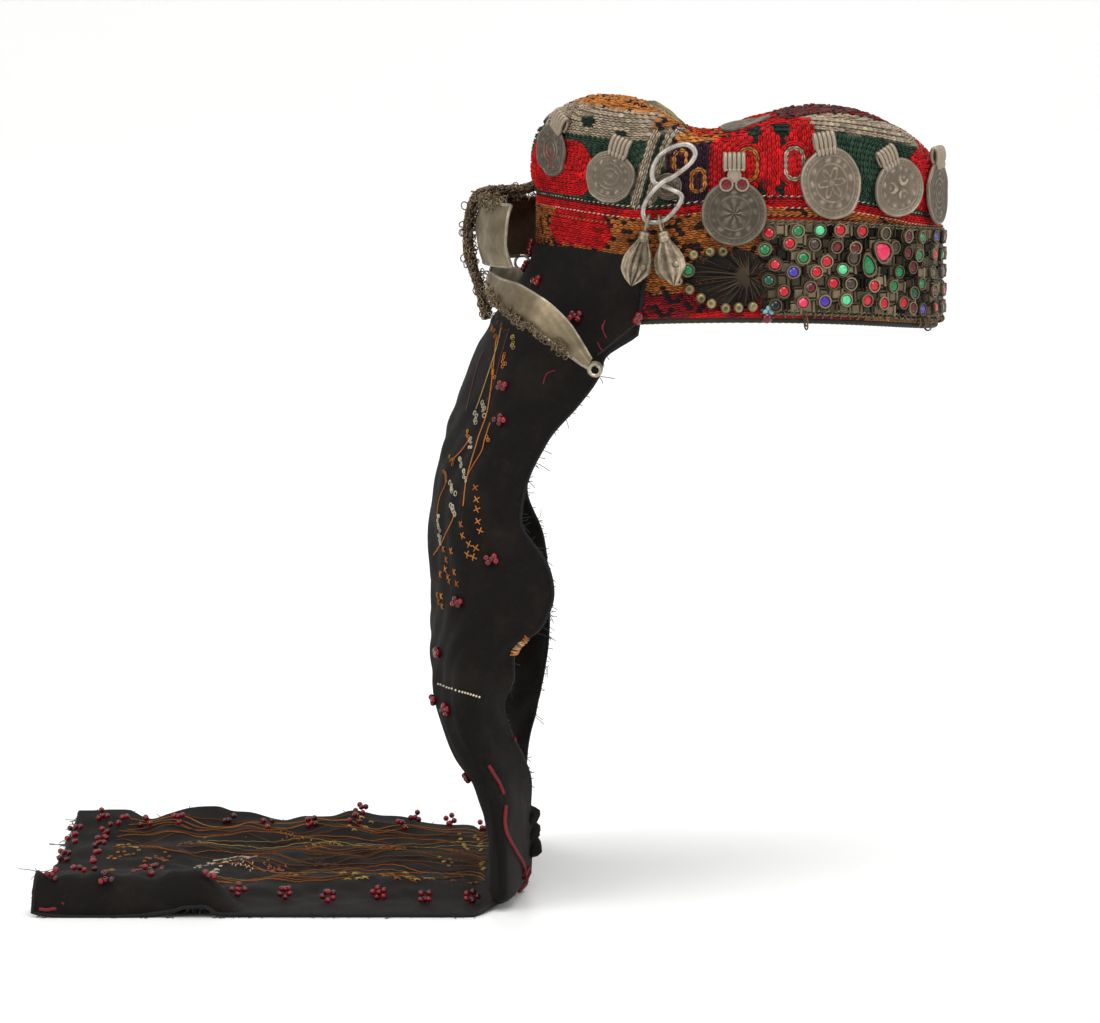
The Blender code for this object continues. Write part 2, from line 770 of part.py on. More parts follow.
def make_coin(row, supports):
    name, turn, height, size, oval, roll, reach = row
    radius = COIN_RADIUS * size
    turn = math.radians(turn)
    upright = Matrix.Rotation(math.pi / 2, 4, "X")
    plate = upright @ Matrix.Diagonal((oval, 1.0, 1.0, 1.0))
    coin = add_object(name, disc(radius, COIN_WALL, COIN_SIDES, plate), OLD_SILVER)
    bail = pipe("bail", BAIL_RADIUS, BAIL_BORE, BAIL_LENGTH)
    bail.parent = coin
    lift = max(radius * reach, radius + BAIL_BORE)
    bail.location = (0, -COIN_WALL / 2, lift + BAIL_RADIUS * 0.3)
    bail.scale = (1.0, 0.62, 1.25)
    joined = [bail]
    if name == "coin_3":
        for sideways, up in STATION_ROWS:
            place = Matrix.Translation((radius * sideways, 0, radius * up)) @ upright
            cup = helper("cup", disc(STATION_RADIUS, COIN_WALL * 1.3, 10, place))
            cup.parent = coin
            joined.append(cup)
    fuse(coin, joined)
    coin.matrix_world = facing(turn, math.radians(roll))
    coin.location = wall_place(turn, CROWN_HEIGHT * height, TRAVEL_START)
    seat(coin, supports, -outward(turn))
    return coin


def make_loose_discs(supports):
    """The coin lying on the front lobe, the leaf plate in the dent, the small disc by the hook."""
    lying = add_object("top_coin", disc(COIN_RADIUS * 0.8, COIN_WALL, COIN_SIDES, Matrix()), OLD_SILVER)
    lying.rotation_euler = (math.radians(4), math.radians(-9), 0)
    lying.location = (HALF_LENGTH * 0.03, -HALF_WIDTH * 0.225, CROWN_HEIGHT + TRAVEL_START)
    seat(lying, supports, (0, 0, -1))
    oval = Matrix.Diagonal((1.25, 0.72, 1.0, 1.0))
    plate = add_object("dent_plate", disc(COIN_RADIUS * 0.62, COIN_WALL * 0.8, 12, oval), BRASS)
    plate.rotation_euler = (math.radians(10), math.radians(33), 0)
    plate.location = (-HALF_LENGTH * 0.363, -HALF_WIDTH * 0.375, CROWN_HEIGHT + TRAVEL_START)
    seat(plate, supports, (0, 0, -1))
    turn = math.radians(SMALL_DISC_TURN)
    upright = Matrix.Rotation(math.pi / 2, 4, "X")
    small = add_object("small_disc", disc(COIN_RADIUS * 0.42, COIN_WALL, 12, upright), OLD_SILVER)
    small.matrix_world = facing(turn)
    small.location = wall_place(turn, CROWN_HEIGHT * 0.64, TRAVEL_START)
    seat(small, supports, -outward(turn))
    return [lying, plate, small]


# The hook's bent wire: a closed figure of eight that crosses itself once.
HOOK_ROWS = (
    # sideways as a share of its width, up as a share of its height, depth in wire radii
    (0.20, 0.52, 1.1), (0.18, 0.68, 0.6), (0.34, 0.87, 0.0), (0.62, 0.98, 0.0), (0.88, 1.00, 0.0),
    (1.02, 0.90, 0.0), (0.92, 0.76, 0.0), (0.62, 0.60, -0.5), (0.40, 0.52, -1.1), (0.20, 0.40, -0.8),
    (0.04, 0.24, 0.0), (0.00, 0.10, 0.0), (0.10, 0.00, 0.0), (0.34, 0.00, 0.0), (0.52, 0.08, 0.0),
    (0.72, 0.24, 0.0), (0.74, 0.35, 0.4), (0.56, 0.42, 0.9), (0.36, 0.47, 1.2),
)
HOOK_TURN = -104.5
HOOK_RISE = 0.0515


def rounded(points, pieces=2):
    """Points on a smooth closed curve through the given ones."""
    points = np.asarray(points, float)
    before, after, beyond = (np.roll(points, shift, axis=0) for shift in (1, -1, -2))
    found = []
    for t in np.arange(pieces) / pieces:
        found.append(
            0.5 * (
                2 * points
                + (after - before) * t
                + (2 * before - 5 * points + 4 * after - beyond) * t**2
                + (3 * points - before - 3 * after + beyond) * t**3
            )
        )
    return np.stack(found, axis=1).reshape(-1, 3)


def make_hook(supports):
    path = []
    for sideways, up, depth in HOOK_ROWS:
        path.append(((sideways - 0.5) * HOOK_WIDTH, depth * HOOK_WIRE, up * HOOK_HEIGHT))
    hook = tube("s_hook", rounded(path), HOOK_WIRE, PALE_SILVER, closed=True)
    turn = math.radians(HOOK_TURN)
    hook.matrix_world = facing(turn)
    hook.location = wall_place(turn, HOOK_RISE, TRAVEL_START)
    seat(hook, supports, -outward(turn))
    return hook


# The pendants' leaf from its cap down.
LEAF_ROWS = (
    # down as a share of the leaf's height, half width and half thickness as shares of its width
    # and of its wall
    (0.00, 0.14, 0.29),
    (0.12, 0.22, 0.34),
    (0.35, 0.40, 0.45),
    (0.60, 0.50, 0.51),
    (0.82, 0.42, 0.46),
    (0.95, 0.24, 0.35),
    (1.00, 0.10, 0.27),
)
LEAF_SIDES = 12
LEAF_RIBS = 4
LEAF_RIB_DEPTH = 0.25


def leaf_mesh():
    """A ribbed leaf that hangs from its cap: closed rings down its height, pinched at both ends."""
    rows = []
    around = np.arange(LEAF_SIDES) * 2 * math.pi / LEAF_SIDES
    ribs = 1 + LEAF_RIB_DEPTH * np.cos(LEAF_RIBS * around)
    for down, half_width, half_wall in LEAF_ROWS:
        x = LEAF_WIDTH * half_width * np.cos(around)
        y = LEAF_WALL * half_wall * np.sin(around) * ribs
        rows.append(np.stack([x, y, np.full_like(x, -LEAF_HEIGHT * down)], axis=-1))
    mesh = grid_mesh("leaf", rows[::-1], wrap=True)
    shape = bmesh.new()
    shape.from_mesh(mesh)
    bmesh.ops.holes_fill(shape, edges=[edge for edge in shape.edges if edge.is_boundary])
    bmesh.ops.recalc_face_normals(shape, faces=shape.faces)
    shape.to_mesh(mesh)
    shape.free()
    return mesh


def make_pendant(name, hook, sideways, roll, lean):
    """A leaf under a cap, hung by a ring that the hook's lowest wire runs through.

    Roll swings it sideways and lean swings it off the cloth, both in degrees.
    """
    cap_low = -LEAF_HEIGHT * PENDANT_CAP_LAP
    ring_centre = cap_low + PENDANT_CAP_HEIGHT + PENDANT_RING_RADIUS
    pendant = add_object(name, leaf_mesh(), OLD_SILVER)
    low_place = Matrix.Translation((0, 0, cap_low))
    cap = helper("cap", disc(PENDANT_CAP_RADIUS, PENDANT_CAP_HEIGHT, 10, low_place))
    angles = np.arange(PENDANT_RING_SIDES) * 2 * math.pi / PENDANT_RING_SIDES
    loop_y = PENDANT_RING_RADIUS * np.cos(angles)
    loop_z = ring_centre + PENDANT_RING_RADIUS * np.sin(angles)
    loop = np.stack([0 * angles, loop_y, loop_z], axis=-1)
    eye = as_helper_mesh(tube("eye", loop, PENDANT_RING_WIRE, BRASS, closed=True))
    cap.parent = pendant
    eye.parent = pendant
    fuse(pendant, [cap, eye])
    turn = math.radians(HOOK_TURN)
    hang = ring_centre + PENDANT_RING_RADIUS - PENDANT_RING_WIRE - HOOK_WIRE - 2 * GAP
    wire = hook.matrix_world @ Vector(((sideways - 0.5) * HOOK_WIDTH, 0, 0))
    swing = facing(turn, math.radians(roll), math.radians(lean))
    pendant.matrix_world = Matrix.Translation(wire) @ swing @ Matrix.Translation((0, 0, -hang))
    return pendant


PENDANT_ROWS = (
    # name, where it hangs as a share of the hook's width, roll and lean in degrees
    ("leaf_pendant_rear", 0.10, 14.0, -4.0),
    ("leaf_pendant_front", 0.34, -14.0, -9.0),
)


# Nape silver: a curved back plate, two side wings, a woven chain and two ties.
PLATE_ROWS = (
    # turn in degrees, how far the plate stands off the cloth as a share of its stand, and its
    # height as a share of the whole
    (204, 0.80, 0.98),
    (194, 0.92, 1.00),
    (184, 1.00, 1.00),
    (174, 1.00, 1.00),
    (163, 0.88, 1.00),
    (151, 0.62, 0.97),
    (141, 0.28, 0.90),
    (133, 0.04, 0.80),
)
WING_ROWS = (
    # back, across, middle height as a share of the tail's drop, width as a share
    (-1.245, 0.42, 0.078, 0.40),
    (-1.190, 0.66, 0.062, 0.72),
    (-1.090, 0.90, 0.046, 1.00),
    (-0.980, 1.04, 0.025, 1.00),
    (-0.870, 1.08, -0.005, 0.86),
    (-0.790, 1.08, -0.035, 0.55),
    (-0.745, 1.08, -0.052, 0.30),
)
WING_EDGES = (-0.5, -0.15, 0.2, 0.5)
WING_DISH = 0.0016
WING_SLANT = 0.28


def make_back_plate():
    rows = []
    for up in (0.0, 0.25, 0.5, 0.75, 1.0):
        bulge = PLATE_BULGE * (math.sin(math.pi * (0.15 + 0.7 * up)) - math.sin(math.pi * 0.15))
        row = []
        for turn, share, tall in PLATE_ROWS:
            stand = PLATE_SEAT + (PLATE_STAND + bulge) * share
            row.append(wall_place(math.radians(turn), PLATE_BASE + PLATE_HEIGHT * tall * up, stand))
        rows.append(row)
    plate = add_object("nape_plate", grid_mesh("nape_plate", rows), PALE_SILVER)
    solidify(plate, SILVER_WALL, 0)
    shade_round(plate)
    return plate


def wing_tip(side):
    back, across, height, _ = WING_ROWS[-1]
    return Vector((back * HALF_LENGTH, side * across * HALF_WIDTH, height * TAIL_DROP))


def make_wing(name, side, supports):
    """A dished wing on the side of the cloth, with the eye on its front end that the tie holds."""
    rows = []
    for edge in WING_EDGES:
        row = []
        for back, across, height, width in WING_ROWS:
            up = edge * WING_WIDTH * width
            dish = WING_DISH * (1 - (2 * edge) ** 2) * width
            y = side * (across * HALF_WIDTH + dish)
            row.append((back * HALF_LENGTH + WING_SLANT * up, y, height * TAIL_DROP + up))
        rows.append(row)
    wing = add_object(name, grid_mesh(name, rows), PALE_SILVER)
    solidify(wing, SILVER_WALL, 0)
    eye = pipe("wing eye", EYE_RADIUS, EYE_BORE, EYE_LENGTH)
    eye.parent = wing
    eye.location = wing_tip(side) + Vector((EYE_RADIUS * 0.6, 0, -EYE_RADIUS * 0.75))
    eye.rotation_euler = (0, EYE_TILT, math.pi / 2)
    fuse(wing, [eye])
    wing.location.y = side * TRAVEL_START
    seat(wing, supports, (0, -side, 0))
    return wing


# The chain's middle line, from the seam over the back plate and down behind it.
CHAIN_ROUTE = (
    # back from the rim as a share of the plate's stand, height as a share of the crown's, across
    # as a share of the plate's height
    (0.041, 0.615, 0.34),
    (0.246, 0.597, 0.27),
    (0.616, 0.590, 0.20),
    (0.965, 0.588, 0.14),
    (1.232, 0.570, 0.03),
    (1.376, 0.500, -0.03),
    (1.437, 0.400, -0.07),
    (1.417, 0.300, -0.10),
    (1.273, 0.200, -0.14),
    (1.150, 0.110, -0.17),
    (1.055, 0.020, -0.17),
)


def make_chain():
    path = []
    for back, height, across in CHAIN_ROUTE:
        x = -HALF_LENGTH - back * PLATE_STAND
        path.append((x, across * PLATE_HEIGHT, height * CROWN_HEIGHT))
    return tube("nape_chain", path, CHAIN_RADIUS, OLD_SILVER, resolution=2)


def make_tie(name, side, wing):
    """The thread from the rim to the wing's eye, bowed a little outwards."""
    top_turn = math.radians(side * (TAIL_TURN - TIE_BEFORE_TAIL))
    top = wall_place(top_turn, float(rim_height(top_turn)) + TIE_LIFT, TIE_RADIUS + GAP)
    low = wing_tip(side) + wing.location
    low += Vector((EYE_RADIUS * 0.8, 0, EYE_RADIUS * 0.75 + TIE_RADIUS))
    path = []
    for t in np.linspace(0, 1, 5):
        path.append(top.lerp(low, t) + Vector((0, side * TIE_BOW * math.sin(math.pi * t), 0)))
    return tube(name, path, TIE_RADIUS, BLACK_THREAD)


def build():
    crown = make_crown()
    band = make_band()
    braid, _ = make_edge_rings()
    tail = make_tail()
    stone_band = make_stone_band()
    make_fan()
    walls = [crown, band, braid, stone_band]
    for row in COIN_ROWS:
        make_coin(row, walls)
    loose = make_loose_discs([crown])
    hook = make_hook(walls + loose[2:])
    for name, sideways, roll, lean in PENDANT_ROWS:
        make_pendant(name, hook, sideways, roll, lean)
    make_back_plate()
    for name, side in (("right", -1), ("left", 1)):
        wing = make_wing("nape_wing_" + name, side, [tail, band])
        make_tie("tie_" + name, side, wing)
    make_chain()


build()
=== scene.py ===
"""The looks of an embroidered kalpak hat: stitched cloth, coins, jewels, nape silver, tail cloth.

Metres, +X towards the face, +Y to the wearer's left, +Z up, the origin in the middle of the head
opening. A turn is an angle round the hat, 0 at the front, positive to the wearer's left. On the
cap's wall a place is (round, up): millimetres round from the front and millimetres up from the seam.
"""
import math

import bpy
import numpy as np
from mathutils import Matrix, Vector


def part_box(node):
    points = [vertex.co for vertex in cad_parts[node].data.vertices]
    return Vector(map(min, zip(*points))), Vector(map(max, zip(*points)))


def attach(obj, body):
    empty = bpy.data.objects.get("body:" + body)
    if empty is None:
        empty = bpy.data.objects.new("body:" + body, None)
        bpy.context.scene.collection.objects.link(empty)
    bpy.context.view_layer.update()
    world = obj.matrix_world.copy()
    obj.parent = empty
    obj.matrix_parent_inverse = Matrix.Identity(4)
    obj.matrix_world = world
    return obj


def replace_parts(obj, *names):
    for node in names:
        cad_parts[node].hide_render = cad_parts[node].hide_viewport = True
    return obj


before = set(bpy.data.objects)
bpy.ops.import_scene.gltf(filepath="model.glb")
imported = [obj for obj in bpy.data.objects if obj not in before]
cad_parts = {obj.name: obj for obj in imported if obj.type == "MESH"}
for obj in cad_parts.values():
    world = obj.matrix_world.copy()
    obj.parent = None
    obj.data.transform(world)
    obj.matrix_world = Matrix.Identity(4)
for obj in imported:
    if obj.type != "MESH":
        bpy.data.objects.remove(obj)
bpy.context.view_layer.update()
draw = np.random.default_rng(11)
MM = 0.001

# The named sizes of the part's source
RIM_LENGTH = 0.193
RIM_WIDTH = 0.160
RIM_SQUARENESS = 2.3
RIM_ARCH = 0.0065
BAND_HEIGHT = 0.060
BAND_WALL = 0.003
CROWN_HEIGHT = 0.106
CROWN_WALL = 0.004
SIDE_DENT_TURN = 103.0
SIDE_DENT_SPREAD = 9.0
SIDE_DENT_DEPTH = 0.007
BRAID_RADIUS = 0.0012
PIPING_RADIUS = 0.0014
CLOTH_WALL = 0.0016
TAIL_TURN = 117.0
TAIL_SEWN_HEIGHT = 0.038
TAIL_DROP = 0.283
TAIL_REACH = 0.3385
TAIL_NEAR_EDGE = 0.052
TAIL_FAR_EDGE = 0.195
HEEL_RADIUS = 0.008
HEEL_BACK = 0.1205
NAPE_STAND = 0.021
STONE_BAND_TURN = 86.8
STONE_BAND_HEIGHT = 0.0425
STONE_BAND_LIFT = 0.0025
STONE_BAND_WALL = 0.0016
COLLET_RADIUS = 0.0031
FAN_HUB = 0.002
FAN_RISE = 0.026
FAN_REACH = 0.029
FAN_BEAD_RADIUS = 0.0024
COIN_RADIUS = 0.0153
COIN_WALL = 0.0016
BAIL_LENGTH = 0.0115
BAIL_RADIUS = 0.0034
BAIL_BORE = 0.0018
HOOK_WIRE = 0.00125
HOOK_WIDTH = 0.024
HOOK_HEIGHT = 0.036
HOOK_TURN = -104.5
PLATE_HEIGHT = 0.0295
PLATE_STAND = 0.0235
PLATE_BASE = 0.0285
PLATE_BULGE = 0.006
SILVER_WALL = 0.0010
WING_WIDTH = 0.0145
GAP = 0.0003
HALF_LENGTH = RIM_LENGTH / 2
HALF_WIDTH = RIM_WIDTH / 2
PLATE_SEAT = GAP + CLOTH_WALL + GAP + SILVER_WALL / 2

# Camera: on the wearer's right, level with the hat and looking a little down
PIXEL = 0.485 * MM
CAMERA_DISTANCE = 2.6
CAMERA_DIP = math.radians(5.9)
PHOTO_WIDTH = 1100
PHOTO_HEIGHT = 1023
RIM_PIXEL = (737.0, 320.0)
SENSOR = 36.0


class Value:
    """One output in a material, with Python's operators in place of Math nodes."""

    def __init__(self, finish, socket):
        self.finish = finish
        self.socket = socket

    def maths(self, operation, *values):
        """One Math node over numbers and outputs."""
        return self.finish.add("Math", {"operation": operation}, dict(enumerate(values)))[0]

    def __add__(self, other):
        return self.maths("ADD", self, other)

    def __mul__(self, other):
        return self.maths("MULTIPLY", self, other)

    def __sub__(self, other):
        return self.maths("SUBTRACT", self, other)

    def __rsub__(self, other):
        return self.maths("SUBTRACT", other, self)

    def __abs__(self):
        return self.maths("ABSOLUTE", self)

    def wave(self, length):
        """A sine of the value, from 0 to 1."""
        return self.maths("SINE", self * (2 * math.pi / length)) * 0.5 + 0.5

    def between(self, low, high):
        """0 below the low value and 1 above the high one, smooth between them."""
        settings = {"interpolation_type": "SMOOTHSTEP"}
        return self.finish.add("MapRange", settings, {0: self, 1: low, 2: high})[0]

    __radd__ = __add__
    __rmul__ = __mul__


class Finish:
    """A material round one Principled shader, whose constant sockets are named in the call."""

    def __init__(self, name, **constants):
        self.material = bpy.data.materials.new(name)
        self.material.use_nodes = True
        self.tree = self.material.node_tree
        self.shader = self.tree.nodes["Principled BSDF"]
        for socket, value in constants.items():
            self.shader.inputs[socket.replace("_", " ")].default_value = value

    def add(self, kind, settings, inputs):
        """Any node: its type, then its settings, then the values or links of its sockets."""
        node = self.tree.nodes.new("ShaderNode" + kind)
        for setting, value in settings.items():
            setattr(node, setting, value)
        for socket, value in inputs.items():
            if isinstance(value, Value):
                self.tree.links.new(value.socket, node.inputs[socket])
            else:
                node.inputs[socket].default_value = value
        return [Value(self, output) for output in node.outputs]

    def place(self, scale=(1.0, 1.0, 1.0)):
        """The point on the object, stretched by a scale along each axis."""
        here = self.add("TexCoord", {}, {})[3]
        return self.add("Mapping", {}, {"Vector": here, "Scale": scale})[0]

    def noise(self, size, detail=3.0, scale=(1.0, 1.0, 1.0), roughness=0.55):
        """Cloudy values about 0.5, whose patches have this size in metres."""
        inputs = {"Vector": self.place(scale), "Scale": 1 / size, "Detail": detail}
        inputs["Roughness"] = roughness
        return self.add("TexNoise", {}, inputs)[0]

    def attribute(self, name):
        return self.add("Attribute", {"attribute_name": name}, {})

    def blend(self, share, low, high):
        """From one colour to the other by a share; a tuple is a colour without its alpha."""
        low, high = (c if isinstance(c, Value) else (*c, 1.0) for c in (low, high))
        return self.add("Mix", {"data_type": "RGBA"}, {0: share, 6: low, 7: high})[2]

    def shaded(self, colour, light):
        """A colour times a number."""
        grey = self.add("CombineColor", {}, {0: light, 1: light, 2: light})[0]
        settings = {"data_type": "RGBA", "blend_type": "MULTIPLY"}
        return self.add("Mix", settings, {0: 1.0, 6: colour, 7: grey})[2]

    def finish(self, colour=None, roughness=None, relief=None, depth=0.0002, metal=None):
        """Links what varies over the surface, and gives the material."""
        sockets = {"Base Color": colour, "Roughness": roughness, "Metallic": metal}
        for socket, value in sockets.items():
            if value is not None:
                self.tree.links.new(value.socket, self.shader.inputs[socket])
        if relief is not None:
            inputs = {"Height": relief, "Distance": depth, "Strength": 1.0}
            normal = self.add("Bump", {}, inputs)[0]
            self.tree.links.new(normal.socket, self.shader.inputs["Normal"])
        return self.material


# Threads, in linear light
RED = (0.50, 0.007, 0.009)
DARK_RED = (0.20, 0.008, 0.012)
GREEN = (0.022, 0.050, 0.030)
DARK_GREEN = (0.010, 0.022, 0.015)
BEIGE = (0.34, 0.27, 0.19)
ORANGE = (0.42, 0.155, 0.036)
DULL_ORANGE = (0.38, 0.120, 0.026)
PURPLE = (0.026, 0.010, 0.022)
BROWN = (0.10, 0.045, 0.035)
BLACK = (0.010, 0.009, 0.009)
CREAM = (0.50, 0.44, 0.32)
PINK = (0.30, 0.10, 0.10)
YELLOW = (0.42, 0.30, 0.09)


def thread_finish(name, shine=0.06):
    """Dyed thread: its colour is on the mesh, mottled by wear, with twisted fibres for relief."""
    made = Finish(name, Sheen_Weight=0.04, Sheen_Roughness=0.6, Specular_IOR_Level=shine)
    dye = made.attribute("dye")[0]
    wear = made.noise(0.009, 2.0)
    fibre = made.noise(0.0007, 3.0)
    light = 0.46 + 0.50 * wear + 0.54 * fibre
    rough = 0.78 + 0.2 * fibre
    return made.finish(made.shaded(dye, light), rough, fibre, 0.00035)


def cloth_finish(name, colour, worn, thread=0.0007, sheen=0.1, rough=0.75, shine=0.25):
    """Woven cotton: crossing threads for relief, and lighter where it is rubbed."""
    made = Finish(name, Sheen_Weight=sheen, Sheen_Roughness=0.45, Specular_IOR_Level=shine)
    x, y, z = made.add("SeparateXYZ", {}, {0: made.place()})[:3]
    warp = (x + z * 0.35).wave(thread)
    weft = (y + z).wave(thread)
    weave = warp * weft + made.noise(0.0012, 2.0) * 0.7
    patches = made.noise(0.022, 4.0)
    dust = made.noise(0.004, 3.0).between(0.50, 0.80)
    rubbed = (patches.between(0.42, 0.78) * 0.7 + dust * 0.3)
    tone = made.blend(rubbed, colour, worn)
    return made.finish(tone, (rough - 0.12) + 0.25 * patches, weave, 0.00025)


def silver_finish(name, bright, dark, rough=0.42, grime=0.0026, metal=0.9, depth=0.0003):
    """Old metal: bright where it is rubbed, dark in its pits and hollows, finely scratched."""
    made = Finish(name, Metallic=metal, Specular_IOR_Level=0.4)
    stain = made.noise(0.011, 4.0)
    pits = made.noise(grime, 4.0, roughness=0.65)
    scratch = made.noise(0.0012, 2.0, (1.0, 1.0, 0.16))
    edge = made.add("NewGeometry", {}, {})[7].between(0.46, 0.56)
    share = stain.between(0.30, 0.70) * 0.50 + pits.between(0.35, 0.70) * 0.35 + edge * 0.25
    tone = made.blend(share, dark, bright)
    roughness = (rough + 0.16) - 0.20 * share + 0.12 * scratch
    return made.finish(tone, roughness, pits * 0.75 + scratch * 0.25, depth)


def struck_finish(name):
    """Struck metal: the colour on its mesh holds its wear and tarnish, and also painted shade in recesses
    and painted highlight on raised parts; stains and scratches mottle it.
    """
    made = Finish(name, Metallic=0.8, Specular_IOR_Level=0.35)
    dye = made.attribute("dye")[0]
    stain = made.noise(0.012, 3.0)
    pits = made.noise(0.0022, 3.0)
    scratch = made.noise(0.0012, 2.0, (1.0, 1.0, 0.2))
    light = 0.66 + 0.42 * stain + 0.26 * pits
    rough = 0.56 - 0.16 * stain + 0.08 * scratch
    return made.finish(made.shaded(dye, light), rough, pits * 0.6 + scratch * 0.4, 0.0002)


def glass_finish(name):
    """Smooth coloured glass that glows a little in its own dye, a painted glow standing in for light
    through a stone.
    """
    made = Finish(
        name, Roughness=0.16, Coat_Weight=0.22, Coat_Roughness=0.06, IOR=1.5, Specular_IOR_Level=0.35
    )
    # Painted glow: the stones emit a little light though they are no lamp.
    made.shader.inputs["Emission Strength"].default_value = 0.22
    dye = made.attribute("dye")[0]
    glow = made.noise(0.0014, 2.0)
    colour = made.shaded(dye, 0.45 + 1.1 * glow)
    made.tree.links.new(colour.socket, made.shader.inputs["Emission Color"])
    return made.finish(colour)


# Meshes
def link(name, mesh, material):
    """A mesh made a piece at the origin, on the hat's one body, with its finish."""
    mesh.materials.append(material)
    mesh.shade_smooth()
    made = bpy.data.objects.new(name, mesh)
    bpy.context.scene.collection.objects.link(made)
    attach(made, "root")
    return made


def piece(name, parts, material, angle=None):
    """One object from several (points, faces, dyes) parts; a face row may be of any length."""
    points, faces, dyes = [], [], []
    start = 0
    for part in parts:
        block, rows = part[0].reshape(-1, 3), part[1]
        points.append(block)
        for row_set in rows:
            faces += (row_set + start).tolist()
        if len(part) > 2:
            dyes.append(np.broadcast_to(part[2], block.shape))
        start += len(block)
    mesh = bpy.data.meshes.new(name)
    mesh.from_pydata(np.concatenate(points).tolist(), [], faces)
    if dyes:
        colours = np.ones((start, 4))
        colours[:, :3] = np.concatenate(dyes)
        layer = mesh.color_attributes.new("dye", "FLOAT_COLOR", "POINT")
        layer.data.foreach_set("color", colours.ravel())
    made = link(name, mesh, material)
    if angle is not None:
        mesh.set_sharp_from_angle(angle=math.radians(angle))
    return made


def unit(vectors):
    """Each vector over its own length."""
    return vectors / np.maximum(np.linalg.norm(vectors, axis=-1, keepdims=True), 1e-12)


def grid_faces(rows, columns, wrap=False):
    """Four-sided faces over a grid of points; wrap joins the last column to the first."""
    index = np.arange(rows * columns).reshape(rows, columns)
    right = np.roll(index, -1, axis=1)
    if not wrap:
        index, right = index[:, :-1], right[:, :-1]
    return np.stack([index[:-1], right[:-1], right[1:], index[1:]], axis=-1).reshape(-1, 4)


def solidify(obj, wall, side):
    """A wall's thickness: outside its surface at side 1, inside at -1, half each way at 0."""
    modifier = obj.modifiers.new("wall", "SOLIDIFY")
    modifier.thickness = wall
    modifier.offset = side
    modifier.use_even_offset = False
    return obj


def tubes(paths, radii, up, sides=6, closed=False, dyes=None, flat=1.0):
    """Round strands along many paths at once, as one part.

    Each point of a path gets a ring of points square to the path: its radius times the cosine of an
    angle sideways and its sine, times flat, upwards, where up is about the given direction.
    """
    paths = np.asarray(paths, float)
    count, length = paths.shape[:2]
    if closed:
        along = np.roll(paths, -1, axis=1) - np.roll(paths, 1, axis=1)
    else:
        along = np.gradient(paths, axis=1)
    along = unit(along)
    side = unit(np.cross(along, np.broadcast_to(up, paths.shape)))
    rise = np.cross(side, along)
    angle = (np.arange(sides) + 0.5) * 2 * math.pi / sides
    radii = np.broadcast_to(radii, (count, length))[..., None, None]
    spoke = np.cos(angle)[:, None] * side[:, :, None] + flat * np.sin(angle)[:, None] * rise[:, :, None]
    points = paths[:, :, None] + radii * spoke
    index = np.arange(count * length * sides).reshape(count, length, sides)
    here, there = (index, np.roll(index, -1, axis=1)) if closed else (index[:, :-1], index[:, 1:])
    quads = np.stack([here, there, np.roll(there, -1, axis=2), np.roll(here, -1, axis=2)], axis=-1)
    faces = [quads.reshape(-1, 4)]
    if not closed:
        faces += [index[:, 0], index[:, -1, ::-1]]
    part = [points, faces]
    if dyes is not None:
        part.append(np.repeat(np.broadcast_to(dyes, (count, 3)), length * sides, axis=0))
    return part


def balls(centres, radius, dyes=None, sides=10, rings=6):
    """Beads at many centres at once: a sphere's points are radius times sine and cosine of its
    two angles, with small flat caps for poles."""
    centres = np.asarray(centres, float)
    polar = np.linspace(0.12, math.pi - 0.12, rings)
    round_ = np.arange(sides) * 2 * math.pi / sides
    shell = np.stack(
        [
            np.sin(polar)[:, None] * np.cos(round_),
            np.sin(polar)[:, None] * np.sin(round_),
            np.cos(polar)[:, None] + 0 * round_,
        ],
        axis=-1,
    )
    radius = np.broadcast_to(radius, (len(centres),))[:, None, None, None]
    points = centres[:, None, None] + shell * radius
    each = rings * sides
    offset = (np.arange(len(centres)) * each)[:, None, None]
    quads = grid_faces(rings, sides, wrap=True)[:, ::-1][None] + offset
    top = np.arange(sides)[None] + offset[:, 0]
    low = (each - 1 - np.arange(sides))[None] + offset[:, 0]
    part = [points, [quads.reshape(-1, 4), top, low]]
    if dyes is not None:
        part.append(np.repeat(np.broadcast_to(dyes, (len(centres), 3)), each, axis=0))
    return part


def rings(centres, normals, radius, wire, sides=12, wire_sides=5, dyes=None, squash=1.0):
    """Closed wire rings at many centres: a circle square to each normal, drawn out by squash."""
    normals = unit(np.atleast_2d(np.asarray(normals, float)))
    helper = np.where(np.abs(normals[:, 2:]) < 0.9, (0.0, 0.0, 1.0), (1.0, 0.0, 0.0))
    first = unit(np.cross(normals, helper))
    second = np.cross(normals, first)
    angle = np.arange(sides) * 2 * math.pi / sides
    radius = np.broadcast_to(radius, (len(normals),))[:, None, None]
    spoke = np.cos(angle)[None, :, None] * first[:, None] * squash
    spoke = spoke + np.sin(angle)[None, :, None] * second[:, None]
    paths = np.asarray(centres)[:, None] + radius * spoke
    return tubes(paths, wire, normals[:, None], wire_sides, True, dyes)


